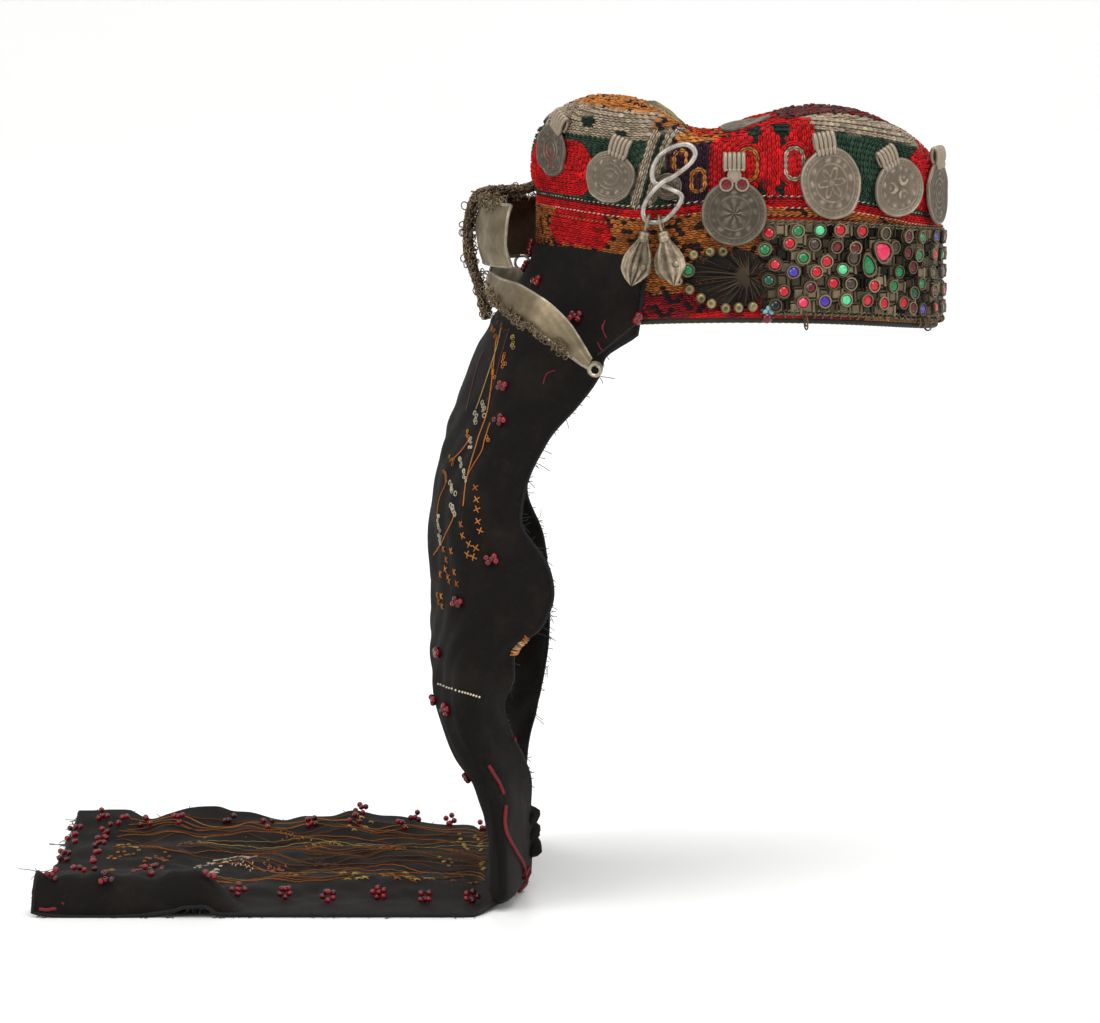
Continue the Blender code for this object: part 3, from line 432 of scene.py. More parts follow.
# The cap's shape
def smooth_between(stations, values, at):
    """Values read off a smooth curve through a table's rows, which never overshoots them."""
    stations = np.asarray(stations, float)
    values = np.asarray(values, float)
    steps = np.diff(stations)
    slopes = np.diff(values) / steps
    tangents = np.concatenate([[slopes[0]], (slopes[1:] + slopes[:-1]) / 2, [slopes[-1]]])
    turns_back = slopes[1:] * slopes[:-1] <= 0
    tangents[1:-1][turns_back] = 0.0
    at = np.clip(at, stations[0], stations[-1])
    row = np.clip(np.searchsorted(stations, at) - 1, 0, len(steps) - 1)
    t = (at - stations[row]) / steps[row]
    pull = steps[row]
    return (
        values[row] * (2 * t**3 - 3 * t**2 + 1)
        + tangents[row] * pull * (t**3 - 2 * t**2 + t)
        + values[row + 1] * (3 * t**2 - 2 * t**3)
        + tangents[row + 1] * pull * (t**3 - t**2)
    )


def signed_power(value, power):
    """The power of a number's size, with the number's own sign."""
    return np.sign(value) * np.abs(value) ** power


def ring(turn, out=0.0):
    """X and Y on the cap's oval, this far outside its wall, at turns in radians."""
    power = 2 / RIM_SQUARENESS
    x = (HALF_LENGTH + out) * signed_power(np.cos(turn), power)
    y = (HALF_WIDTH + out) * signed_power(np.sin(turn), power)
    return x, y


def rim_height(turn):
    """The rim arches over each ear by the square of the turn's sine."""
    return RIM_ARCH * np.sin(turn) ** 2


SEAM_ROWS = (
    # turn in degrees, height of the seam as a share of the band's
    (0, 0.84), (34, 0.89), (53, 0.97), (70, 1.03), (87, 1.045),
    (100, 1.00), (116, 0.955), (135, 0.99), (150, 1.015), (180, 1.03),
)
RIDGE_ROWS = (
    # place from back to front as a share of half the length, height as a share of the crown's
    (-1.02, 0.89), (-0.92, 0.96), (-0.70, 1.01), (-0.45, 0.97), (-0.22, 0.85), (-0.12, 0.84),
    (0.12, 0.905), (0.42, 0.95), (0.62, 0.93), (0.88, 0.83), (1.02, 0.70),
)
RIDGE_FALL = -0.020
CROWN_ROWS = (
    # spread as a share of the rim's oval, rise as a share of the way up from the seam
    (1.000, 0.00), (1.018, 0.25), (1.024, 0.50), (1.008, 0.74),
    (0.965, 0.89), (0.880, 0.962), (0.740, 0.986), (0.560, 0.996), (0.300, 1.00),
)


def folded(turn):
    """A turn in degrees from the front, the same on both sides."""
    return np.degrees(np.abs((np.asarray(turn) + math.pi) % (2 * math.pi) - math.pi))


def seam_height(turn):
    """The seam's height at a turn, the same on both sides, by its table."""
    degrees, shares = zip(*SEAM_ROWS)
    return BAND_HEIGHT * smooth_between(degrees, shares, folded(turn))


def crown_top(x, y):
    """The ridge's height at X by its table, which changes towards the sides by the square of Y."""
    places, heights = zip(*RIDGE_ROWS)
    ridge = CROWN_HEIGHT * smooth_between(places, heights, x / HALF_LENGTH)
    return ridge * (1 - RIDGE_FALL * (y / HALF_WIDTH) ** 2)


def quilting(turn, rise):
    """Low swellings of the padding, in metres: two crossed sines over the turn and the rise."""
    return 0.0007 * np.sin(turn * 9 + 2 * np.sin(turn * 4)) * np.sin(rise * 5.5 + turn * 3)


def crown_point(turn, spread, rise, out=0.0):
    """The crown's surface: the rim's oval times the spread, and the rise towards the ridge."""
    dent = np.exp(-(((folded(turn) - SIDE_DENT_TURN) / SIDE_DENT_SPREAD) ** 2))
    x, y = ring(turn)
    push = 1 - SIDE_DENT_DEPTH / HALF_WIDTH * dent * rise * spread
    swell = 1 + (out + quilting(turn, rise) * np.clip(rise * 4, 0, 1)) / HALF_WIDTH
    x = x * spread * swell
    y = y * spread * push * swell
    seam = seam_height(turn) + GAP / 2
    lift = np.clip((rise - 0.8) / 0.2, 0, 1) * out
    return np.stack([x, y, seam + (crown_top(x, y) - seam) * rise + lift], axis=-1)


ARC_TURNS = np.radians(np.linspace(0, 180, 1441))
ARC_X, ARC_Y = ring(ARC_TURNS)
ARC_STEPS = np.hypot(np.diff(ARC_X), np.diff(ARC_Y)) / MM
ARC_ROUND = np.concatenate([[0.0], np.cumsum(ARC_STEPS)])
HALF_ROUND = float(ARC_ROUND[-1])


def turn_of(round_):
    """The turn in radians at millimetres round from the front, negative on the wearer's right."""
    return np.sign(round_) * np.interp(np.abs(round_), ARC_ROUND, ARC_TURNS)


def round_of(turn):
    """Millimetres round from the front at a turn in radians."""
    return np.sign(turn) * np.interp(np.abs(turn), ARC_TURNS, ARC_ROUND)


def wall_point(round_, up, out=0.0):
    """A place on the cap's wall: the crown above the seam, the band below it."""
    round_, up = np.broadcast_arrays(np.asarray(round_, float), np.asarray(up, float))
    round_ = (round_ + HALF_ROUND) % (2 * HALF_ROUND) - HALF_ROUND
    turn = turn_of(round_)
    x, y = ring(turn)
    top = crown_top(x, y)
    rise = np.clip(up * MM / (top - seam_height(turn)), 0, 0.999)
    spreads, rises = zip(*CROWN_ROWS)
    above = crown_point(turn, smooth_between(rises, spreads, rise), rise, out)
    x, y = ring(turn, out)
    below = np.stack([x, y, seam_height(turn) + up * MM], axis=-1)
    return np.where((up > 0)[..., None], above, below)


def wall_frame(round_, up, out=0.0, step=0.6):
    """The wall's place, its directions round and up, and the direction out of it."""
    here = wall_point(round_, up, out)
    onward = unit(wall_point(round_ + step, up, out) - wall_point(round_ - step, up, out))
    upward = unit(wall_point(round_, up + step, out) - wall_point(round_, up - step, out))
    outward = unit(np.cross(onward, upward))
    return here, onward, upward, outward


# Embroidery on the wall, the same on both sides of the hat
PATTERN_ROWS = (
    # form, round and up of its middle, half its size round and up in mm, thread, lay of its rows
    ("box", 142.0, 24.0, 144.0, 24.0, GREEN, "level"),
    ("oval", 246.0, 15.5, 100.0, 60.0, GREEN, "rings"),
    ("oval", 38.0, 17.0, 90.0, 60.0, GREEN, "rings"),
    ("box", 215.0, 46.0, 71.0, 9.0, ORANGE, "flecked"),
    ("box", 71.0, 46.0, 73.0, 9.0, BROWN, "level"),
    ("box", 242.0, 38.4, 56.0, 6.4, BEIGE, "level"),
    ("box", 57.0, 38.0, 55.0, 6.0, BEIGE, "level"),
    ("oval", 219.0, 38.5, 4.5, 2.2, DARK_GREEN, "level"),
    ("oval", 200.0, 33.6, 4.0, 1.2, DARK_GREEN, "level"),
    ("oval", 246.0, 15.5, 31.0, 13.6, RED, "rings"),
    ("oval", 38.0, 16.5, 23.0, 14.6, RED, "rings"),
    ("box", 134.5, 22.0, 24.5, 30.0, RED, "upright"),
    ("oval", 119.5, 16.0, 7.4, 10.6, RED, "rings"),
    ("oval", 141.0, 15.5, 7.4, 10.6, RED, "rings"),
    ("down", 137.4, 29.2, 5.2, 4.6, DARK_GREEN, "level"),
    ("down", 124.6, 29.2, 5.2, 4.6, DARK_GREEN, "level"),
    ("up", 134.6, 4.6, 3.6, 3.4, DARK_GREEN, "level"),
    ("up", 125.4, 4.6, 3.6, 3.4, DARK_GREEN, "level"),
    ("ring", 119.5, 16.0, 4.9, 8.0, BEIGE, "ring"),
    ("ring", 141.0, 15.5, 4.9, 8.0, ORANGE, "ring"),
    ("box", 168.5, 20.0, 10.5, 24.0, PURPLE, "upright"),
    ("box", 165.5, 31.2, 8.6, 3.2, ORANGE, "level"),
    ("ring", 172.0, 20.5, 3.4, 5.6, ORANGE, "ring"),
    ("ring", 163.5, 10.5, 3.8, 5.8, ORANGE, "ring"),
    ("ring", 174.5, 6.0, 3.0, 3.6, BEIGE, "ring"),
    ("slant", 185.8, 18.0, 6.2, 18.5, BEIGE, "slant"),
    ("slant", 186.0, 18.0, 0.9, 17.0, DARK_GREEN, "slant"),
    ("box", 142.0, -31.0, 144.0, 31.0, DULL_ORANGE, "flecked"),
    ("box", 75.0, -10.3, 79.0, 1.9, RED, "level"),
    ("oval", 228.0, -12.9, 21.5, 8.4, RED, "level"),
    ("box", 142.0, -52.0, 60.0, 12.0, DARK_RED, "flecked"),
    ("oval", 128.0, -55.0, 14.0, 3.0, RED, "level"),
    ("oval", 160.0, -54.0, 9.0, 3.4, RED, "level"),
    ("box", 142.0, -2.3, 144.0, 1.9, RED, "level"),
)
ROW_PITCH = 2.05
STITCH_LENGTH = 2.95
HEADINGS = {"level": 0.0, "flecked": 0.0, "upright": math.pi / 2, "slant": 1.89}
FLECK_SHARE = 0.24


def from_middle(row, round_, up):
    """How far a place is from a shape's outline inwards, from 1 in its middle to 0 at its edge."""
    form, mid_round, mid_up, half_round, half_up = row[:5]
    dx, dy = round_ - mid_round, up - mid_up
    if form == "slant":
        dx = dx + 0.33 * dy
    if form in ("oval", "ring"):
        core = max(half_round, half_up) - min(half_round, half_up)
        if half_round > half_up:
            dx = np.maximum(np.abs(dx) - core, 0)
        else:
            dy = np.maximum(np.abs(dy) - core, 0)
        return 1 - np.hypot(dx, dy) / min(half_round, half_up)
    if form in ("down", "up"):
        share = (dy / half_up if form == "down" else -dy / half_up) * 0.5 + 0.5
        inside = share - np.abs(dx) / half_round
        return np.where((share >= 0) & (share <= 1), inside, -1)
    return 1 - np.maximum(np.abs(dx) / half_round, np.abs(dy) / half_up)


def contour(row, inset):
    """Even places along a shape's outline, drawn in by the inset: a run of half circles and the
    straights between them, measured off by length."""
    _, mid_round, mid_up, half_round, half_up = row[:5]
    radius = min(half_round, half_up) - inset
    core = abs(half_round - half_up)
    angle = np.linspace(0, 2 * math.pi, 97)
    if half_round > half_up:
        line = np.stack([core * np.sign(np.cos(angle)), 0 * angle], axis=-1)
    else:
        line = np.stack([0 * angle, core * np.sign(np.sin(angle + 1e-6))], axis=-1)
    line = line + radius * np.stack([np.cos(angle), np.sin(angle)], axis=-1)
    steps = np.linalg.norm(np.diff(line, axis=0), axis=1)
    length = np.concatenate([[0.0], np.cumsum(steps)])
    count = max(4, round(length[-1] / STITCH_LENGTH))
    at = (np.arange(count) + 0.5) * length[-1] / count
    here = np.stack([np.interp(at, length, line[:, k]) for k in (0, 1)], axis=-1)
    onward = np.stack([np.interp(at + 0.3, length, line[:, k]) for k in (0, 1)], axis=-1) - here
    heading = np.arctan2(onward[:, 1], onward[:, 0])
    return here + (mid_round, mid_up), heading


def rows_of(row):
    """The places and headings of a shape's stitches, before what lies over it is cut out."""
    _, mid_round, mid_up, half_round, half_up, _, lay = row
    if lay in ("rings", "ring"):
        least = min(half_round, half_up)
        insets = [ROW_PITCH * 0.4] if lay == "ring" else np.arange(ROW_PITCH * 0.5, least, ROW_PITCH)
        found = [contour(row, inset) for inset in insets]
        return np.concatenate([f[0] for f in found]), np.concatenate([f[1] for f in found])
    heading = HEADINGS[lay]
    reach = math.hypot(half_round, half_up) + STITCH_LENGTH
    across = np.arange(-reach, reach, ROW_PITCH)
    along = np.arange(-reach, reach, STITCH_LENGTH)
    u, v = np.meshgrid(along, across)
    u = u + (np.arange(len(across)) % 2)[:, None] * STITCH_LENGTH / 2
    turned = np.stack(
        [
            u * math.cos(heading) - v * math.sin(heading) + mid_round,
            u * math.sin(heading) + v * math.cos(heading) + mid_up,
        ],
        axis=-1,
    ).reshape(-1, 2)
    return turned, np.full(len(turned), heading)


def pattern_stitches():
    """Every stitch of the pattern: round, up, heading and dye, mirrored to both sides."""
    found = []
    for number, row in enumerate(PATTERN_ROWS):
        places, headings = rows_of(row)
        round_, up = places.T
        keep = (from_middle(row, round_, up) > 0) & (round_ > 0) & (round_ < HALF_ROUND)
        if row[0] == "ring":
            keep &= from_middle(row, round_, up) < 0.5
        for later in PATTERN_ROWS[number + 1:]:
            cover = from_middle(later, round_, up)
            keep &= ~((cover > 0) & ((cover < 0.5) | (later[0] != "ring")))
        round_, up, headings = round_[keep], up[keep], headings[keep]
        dye = np.broadcast_to(row[5], (len(round_), 3)).copy()
        if row[6] == "flecked":
            dye[draw.random(len(round_)) < FLECK_SHARE] = BLACK
        found.append(np.concatenate([np.stack([round_, up, headings], axis=-1), dye], axis=-1))
    near = np.concatenate(found)
    far = near.copy()
    far[:, 0] *= -1
    far[:, 2] = math.pi - far[:, 2]
    return np.concatenate([near, far])


def chain_stitches(places, along, outward, dyes, length=3.35, width=2.05, thread=0.56):
    """Chain stitches: two strands each, which leave one end together, bow apart and meet again."""
    count = len(places)
    side = np.cross(outward, along)
    swing = 1 + 0.16 * draw.standard_normal((count, 1))
    parts = []
    shares = ((-0.50, 0.10, 0.15), (0.02, 0.29, 0.62), (0.50, 0.16, 0.20))
    dyes = dyes * (1 + 0.22 * draw.standard_normal((count, 1))).clip(0.5, 1.6)
    for hand in (-1, 1):
        path = [
            places + MM * (u * length * along + hand * v * width * swing * side + w * outward)
            for u, v, w in shares
        ]
        radii = np.array([0.62, 1.0, 0.58]) * thread * MM
        parts.append(tubes(np.stack(path, axis=1), radii, outward[:, None], 3, False, dyes))
    return parts


def dress_wall():
    """The crown's and the band's embroidery, as chain stitches on the cap's wall."""
    table = pattern_stitches()
    round_, up, heading = table[:, 0], table[:, 1], table[:, 2]
    turn = np.degrees(turn_of(round_))
    height = seam_height(np.radians(turn)) + up * MM
    low = rim_height(np.radians(turn))
    under_jewels = (np.abs(turn) < STONE_BAND_TURN - 3) & (height < 0.043) & (height > 0.006)
    under_tail = (np.abs(turn) > TAIL_TURN + 4) & (height < TAIL_SEWN_HEIGHT - 0.002)
    steep = wall_frame(round_, up)[3][:, 2] < 0.93
    keep = ~under_jewels & ~under_tail & (height > low + 0.001) & steep
    table = table[keep]
    round_, up, heading = table[:, 0], table[:, 1], table[:, 2]
    here, onward, upward, outward = wall_frame(round_, up, 0.0001)
    along = np.cos(heading)[:, None] * onward + np.sin(heading)[:, None] * upward
    dyes = table[:, 3:]
    material = thread_finish("embroidery thread")
    above = up > 0
    for name, part, slot in (
        ("crown_stitches", above, "red_cloth"), ("band_stitches", ~above, "orange_cloth"),
    ):
        parts = chain_stitches(here[part], unit(along[part]), outward[part], dyes[part])
        piece(name, parts, material)


CROWN_COLUMNS = 260
CROWN_LEVELS = 44
# Painted shade: the share of the stitches' colour left on the cloth between them.
GROUND_SHADE = 0.55


def ground_dye(round_, up):
    """The cloth under the stitches takes their colour, darker, so that no gap shows: the darkening by
    GROUND_SHADE is painted shade between the stitches.
    """
    dye = np.zeros((*np.shape(up), 3)) + BROWN
    for row in PATTERN_ROWS:
        cover = from_middle(row, round_, up)
        inside = (cover > 0) & ((cover < 0.5) | (row[0] != "ring"))
        dye[inside] = row[5]
    return dye * GROUND_SHADE


def ground_finish(name):
    """Matt cloth whose colour comes from its own dye, cloudier by fine noise."""
    made = Finish(name, Sheen_Weight=0.1, Sheen_Roughness=0.5, Specular_IOR_Level=0.15)
    dye = made.attribute("dye")[0]
    fibre = made.noise(0.0009, 3.0)
    return made.finish(made.shaded(dye, 0.6 + 0.8 * fibre), 0.85 + 0.1 * fibre, fibre, 0.0003)


def dress_crown():
    """The crown's padded ground, over which the top's loose loops and the wall's stitches lie."""
    spreads, rises = zip(*CROWN_ROWS)
    shares = np.linspace(0, len(spreads) - 1, CROWN_LEVELS)
    spread = smooth_between(range(len(spreads)), spreads, shares)[:, None]
    rise = smooth_between(range(len(rises)), rises, shares)[:, None]
    inner = np.array([0.2, 0.1, 0.01])[:, None]
    spread = np.concatenate([spread, inner])
    rise = np.concatenate([rise, np.ones_like(inner)])
    turn = np.linspace(-math.pi, math.pi, CROWN_COLUMNS + 1)[None, :-1]
    points = crown_point(turn + 0 * spread, spread + 0 * turn, rise + 0 * turn)
    ground = ground_finish("crown ground cloth")
    rows = grid_faces(len(spread), CROWN_COLUMNS, wrap=True)
    peak = (len(spread) - 1) * CROWN_COLUMNS + np.arange(CROWN_COLUMNS)[None]
    up = (points[..., 2] - seam_height(turn)) / MM
    dyes = ground_dye(np.abs(round_of(turn)) + 0 * up, up)
    crown = piece("crown_cloth", [(points, [rows, peak], dyes.reshape(-1, 3))], ground)
    solidify(crown, CROWN_WALL, -1)
    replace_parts(crown, "crown")


TOP_ROWS = (
    # from and to along the top as shares of half the length, threads, how far the loops stand up
    (-1.0, -0.80, (BEIGE, BLACK, DULL_ORANGE), 0.5),
    (-0.80, -0.28, (ORANGE, ORANGE, DULL_ORANGE, BLACK), 0.9),
    (-0.28, -0.06, (DULL_ORANGE, BLACK, RED), 0.8),
    (-0.06, 0.20, (RED, RED, DARK_RED, BLACK), 0.5),
    (0.20, 0.72, (BROWN, PURPLE, BROWN, DARK_RED), 1.2),
    (0.72, 1.0, (BEIGE, BROWN, BEIGE), 0.5),
)
LOOP_STEP = 2.6
LOOP_THREAD = 0.47


def dress_top():
    """Loose loops over the crown's top: short bowed strands at an uneven grid of places."""
    step = LOOP_STEP * MM
    x, y = np.meshgrid(np.arange(-0.099, 0.099, step), np.arange(-0.082, 0.082, step))
    x = (x + step * 0.45 * draw.standard_normal(x.shape)).ravel()
    y = (y + step * 0.45 * draw.standard_normal(y.shape)).ravel()
    power = RIM_SQUARENESS
    spread = (np.abs(x / HALF_LENGTH) ** power + np.abs(y / HALF_WIDTH) ** power) ** (1 / power)
    keep = (spread < 0.962) & (spread > 0.01)
    x, y, spread = x[keep], y[keep], spread[keep]
    sideways = signed_power(y / (HALF_WIDTH * spread), power / 2)
    ahead = signed_power(x / (HALF_LENGTH * spread), power / 2)
    turn = np.arctan2(sideways, ahead)
    spreads, rises = zip(*CROWN_ROWS[3:])
    rise = smooth_between(spreads[::-1], rises[::-1], spread)
    here = crown_point(turn, spread, rise)
    share = x / HALF_LENGTH
    dyes = np.zeros((len(x), 3))
    stand = np.zeros(len(x))
    for start, end, threads, height in TOP_ROWS:
        inside = (share >= start) & (share < end)
        pick = draw.integers(len(threads), size=len(x))
        dyes[inside] = np.array(threads)[pick][inside]
        stand[inside] = height
    shoulder = spread > 0.83
    up = (here[:, 2] - seam_height(turn)) / MM
    # The shoulder's loops take the ground's colour without its painted shade.
    dyes[shoulder] = ground_dye(np.abs(round_of(turn)), up)[shoulder] / GROUND_SHADE
    stand[shoulder] = 0.35
    heading = 0.8 * np.sin(x * 60) + 0.55 * draw.standard_normal(len(x))
    round_about = np.arctan2(x / HALF_LENGTH, -y / HALF_WIDTH) + 0.2 * draw.standard_normal(len(x))
    heading = np.where(shoulder, round_about, heading)
    along = np.stack([np.cos(heading), np.sin(heading), 0 * heading], axis=-1)
    length = (3.4 + 1.2 * draw.random(len(x)))[:, None] * MM
    rise_by = (stand * (0.5 + draw.random(len(x))))[:, None] * MM
    up = np.array([0.0, 0.0, 1.0])
    bow = ((-0.5, 0.0), (-0.2, 1.0), (0.2, 1.0), (0.5, 0.0))
    path = [here + along * length * s + up * rise_by * h for s, h in bow]
    dyes = dyes * (1 + 0.25 * draw.standard_normal((len(x), 1))).clip(0.4, 1.7)
    radii = np.array([0.7, 1.0, 1.0, 0.7]) * LOOP_THREAD * MM
    thread = bpy.data.materials["embroidery thread"]
    piece("top_loops", [tubes(np.stack(path, axis=1), radii, up, 3, False, dyes)], thread)


CORD_ROWS = (
    # height from the seam in millimetres, the two strands' dyes, their radius in millimetres
    (0.9, CREAM, BLACK, 0.34),
    (-0.25, DARK_RED, BLACK, 0.30),
    (-4.5, CREAM, RED, 0.34),
    (-8.3, BLACK, DULL_ORANGE, 0.3),
)
CORD_POINTS = 900
PIPING_POINTS = 720


def dress_band():
    """The band's cloth, and the cords, braid and piping that run all round it."""
    turn = np.linspace(-math.pi, math.pi, CROWN_COLUMNS + 1)[:-1]
    low = rim_height(turn)
    top = seam_height(turn) - GAP / 2
    up = np.linspace(0, 1, 30)[:, None]
    x, y = ring(turn)
    points = np.stack([x + 0 * up, y + 0 * up, low + (top - low) * up], axis=-1)
    dyes = ground_dye(np.abs(round_of(turn)) + 0 * up, (points[..., 2] - top) / MM)
    ground = bpy.data.materials["crown ground cloth"]
    rows = grid_faces(len(up), len(turn), wrap=True)
    band = piece("band_cloth", [(points, [rows], dyes.reshape(-1, 3))], ground)
    solidify(band, BAND_WALL, -1)
    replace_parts(band, "cap_band")
    thread = bpy.data.materials["embroidery thread"]
    parts = []
    turn = np.linspace(-math.pi, math.pi, CORD_POINTS + 1)[:-1]
    twist = np.arange(CORD_POINTS) * 2 * math.pi / 4.5
    for up, dye, second, wire in CORD_ROWS:
        for phase, dyed in ((0.0, dye), (math.pi, second)):
            out = BRAID_RADIUS * 0.45 + wire * MM * 0.7 * np.cos(twist + phase)
            x, y = ring(turn, out)
            z = seam_height(turn) + up * MM + wire * MM * 0.7 * np.sin(twist + phase)
            path = np.stack([x, y, z], axis=-1)[None]
            parts.append(tubes(path, wire * MM, (0, 0, 1), 3, True, np.array([dyed])))
    braid = piece("seam_cords", parts, thread)
    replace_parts(braid, "seam_braid")
    turn = np.linspace(-math.pi, math.pi, PIPING_POINTS + 1)[:-1]
    x, y = ring(turn, -BAND_WALL / 2)
    z = rim_height(turn) - PIPING_RADIUS * 0.75
    radii = PIPING_RADIUS * (1 + 0.07 * np.sin(np.arange(PIPING_POINTS) * 1.9))[None]
    green = cloth_finish("piping cloth", (0.018, 0.022, 0.014), (0.050, 0.046, 0.032), 0.0006)
    run = np.stack([x, y, z], axis=-1)[None]
    piping = piece("piping", [tubes(run, radii, (0, 0, 1), 10, True)], green)
    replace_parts(piping, "rim_piping")


def set_camera():
    """The photograph's view: its scale at the hat, its distance and its dip give place and lens."""
    shift_x = (PHOTO_WIDTH / 2 - RIM_PIXEL[0]) * PIXEL
    shift_z = (RIM_PIXEL[1] - PHOTO_HEIGHT / 2) * PIXEL
    forward = Vector((0, math.cos(CAMERA_DIP), -math.sin(CAMERA_DIP)))
    lens = bpy.data.cameras.new("camera")
    lens.sensor_width = SENSOR
    lens.lens = CAMERA_DISTANCE / PIXEL / PHOTO_WIDTH * SENSOR
    lens.clip_end = 30.0
    camera = bpy.data.objects.new("camera", lens)
    camera.location = Vector((shift_x, 0, shift_z)) - forward * CAMERA_DISTANCE
    camera.rotation_euler = (math.pi / 2 - CAMERA_DIP, 0, 0)
    bpy.context.scene.collection.objects.link(camera)
    bpy.context.scene.camera = camera


LIGHT_ROWS = (
    # name, place, what it is aimed at, width, height, power in watts
    ("overhead", (0.1, -0.9, 2.2), (-0.05, 0.0, -0.05), 2.0, 1.6, 46.0),
    ("left window", (-2.0, -1.7, 1.0), (-0.05, 0.0, -0.05), 1.4, 1.4, 26.0),
    ("right fill", (2.2, -1.3, 0.8), (-0.05, 0.0, -0.05), 1.2, 1.4, 22.0),
    ("backdrop", (0.0, 1.5, 1.9), (0.0, 3.6, -0.3), 5.0, 2.0, 60.0),
)
WORLD_STRENGTH = 0.55


def set_light():
    """White light from all round, and soft rectangular lamps aimed at the hat and the backdrop."""
    world = bpy.data.worlds.new("studio")
    bpy.context.scene.world = world
    world.use_nodes = True
    world.node_tree.nodes["Background"].inputs["Color"].default_value = (1.0, 1.0, 1.0, 1.0)
    world.node_tree.nodes["Background"].inputs["Strength"].default_value = WORLD_STRENGTH
    for name, place, target, width, height, power in LIGHT_ROWS:
        lamp = bpy.data.lights.new(name, "AREA")
        lamp.shape = "RECTANGLE"
        lamp.size = width
        lamp.size_y = height
        lamp.energy = power
        made = bpy.data.objects.new(name, lamp)
        made.location = place
        aim = Vector(target) - Vector(place)
        made.rotation_euler = aim.to_track_quat("-Z", "Y").to_euler()
        bpy.context.scene.collection.objects.link(made)


FLOOR_ROWS = (
    # distance behind the hat and height above the table, in metres
    (-6.0, 0.0), (-2.0, 0.0), (1.0, 0.0), (2.4, 0.0), (3.2, 0.0), (4.4, 0.3), (5.0, 1.2), (5.3, 6.0),
)


def set_floor():
    """A pale floor that curves up into a backdrop far behind the hat."""
    profile = np.array(FLOOR_ROWS)
    x = np.linspace(-7, 7, 9)
    points = np.zeros((len(profile), len(x), 3))
    points[..., 0] = x
    points[..., 1] = profile[:, :1]
    points[..., 2] = profile[:, 1:] - TAIL_DROP
    mesh = bpy.data.meshes.new("floor")
    mesh.from_pydata(points.reshape(-1, 3).tolist(), [], grid_faces(len(profile), len(x)).tolist())
    mesh.flip_normals()
    mesh.shade_smooth()
    floor = bpy.data.objects.new("floor", mesh)
    bpy.context.scene.collection.objects.link(floor)
    floor.modifiers.new("round", "SUBSURF").levels = 2
    floor.modifiers["round"].render_levels = 2
    made = Finish("pale floor", Roughness=0.35, Specular_IOR_Level=0.35)
    tone = made.noise(1.5, 2.0)
    mesh.materials.append(made.finish(made.blend(tone, (0.90, 0.90, 0.89), (0.94, 0.94, 0.93))))


# Coins, hook and pendants
def outward(turn):
    """The level direction that leaves the cap's wall squarely at a turn in radians."""
    ahead = np.array(ring(turn + 0.004))
    behind = np.array(ring(turn - 0.004))
    along = ahead - behind
    return unit(np.array([along[1], -along[0], 0.0]))


def spin(angle, axis):
    """A turn about one axis, as a 3 by 3 matrix."""
    return np.array(Matrix.Rotation(angle, 3, axis))


def facing(turn, roll=0.0, lean=0.0):
    """Columns for local X level along the wall, local Y into the hat, local Z up, rolled and leant."""
    out = outward(turn)
    along = -np.cross((0.0, 0.0, 1.0), -out)
    frame_ = np.stack([along, -out, (0.0, 0.0, 1.0)], axis=1)
    return frame_ @ spin(roll, "Y") @ spin(lean, "X")


def settled(node, local, frame_):
    """How far to move a turned shape so that its box has the same middle as the node's."""
    low, high = (np.array(corner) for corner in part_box(node))
    turned = local.reshape(-1, 3) @ frame_.T
    return (low + high) / 2 - (turned.min(axis=0) + turned.max(axis=0)) / 2


def moved(part, frame_, offset):
    """A part turned by a frame's columns and then shifted."""
    return [part[0].reshape(-1, 3) @ frame_.T + offset, *part[1:]]


def lathes(centres, out, side, profile, sides, dyes=None, stretch=(1.0, 1.0), taper=0.0, shade=None):
    """Turned shapes at many centres: each profile row is a radius and a height along out; the circle
    is stretched sideways and upwards, and narrowed towards its top by the taper."""
    centres, out, side = (np.atleast_2d(v) for v in (centres, out, side))
    upward = np.cross(out, side)
    profile = np.asarray(profile, float)
    angle = np.arange(sides) * 2 * math.pi / sides
    narrow = 1 - taper * (1 + np.sin(angle)) / 2
    flat = np.cos(angle)[:, None] * narrow[:, None] * side[:, None, :] * stretch[0]
    flat = flat + np.sin(angle)[:, None] * upward[:, None, :] * stretch[1]
    points = centres[:, None, None] + profile[:, :1, None] * flat[:, None]
    points = points + (profile[:, 1:, None] * out[:, None, None]).reshape(len(centres), len(profile), 1, 3)
    each = len(profile) * sides
    offset = (np.arange(len(centres)) * each)[:, None, None]
    quads = grid_faces(len(profile), sides, wrap=True)[None] + offset
    low = (sides - 1 - np.arange(sides))[None] + offset[:, 0]
    top = (each - sides + np.arange(sides))[None] + offset[:, 0]
    part = [points, [quads.reshape(-1, 4), low, top]]
    if dyes is not None:
        # A given shade multiplies each profile row's dye: painted light and shade.
        shade = np.ones(len(profile)) if shade is None else np.asarray(shade)
        rows = np.broadcast_to(dyes, (len(centres), 3))[:, None] * shade[:, None]
        part.append(np.repeat(rows.reshape(-1, 3), sides, axis=0))
    return part


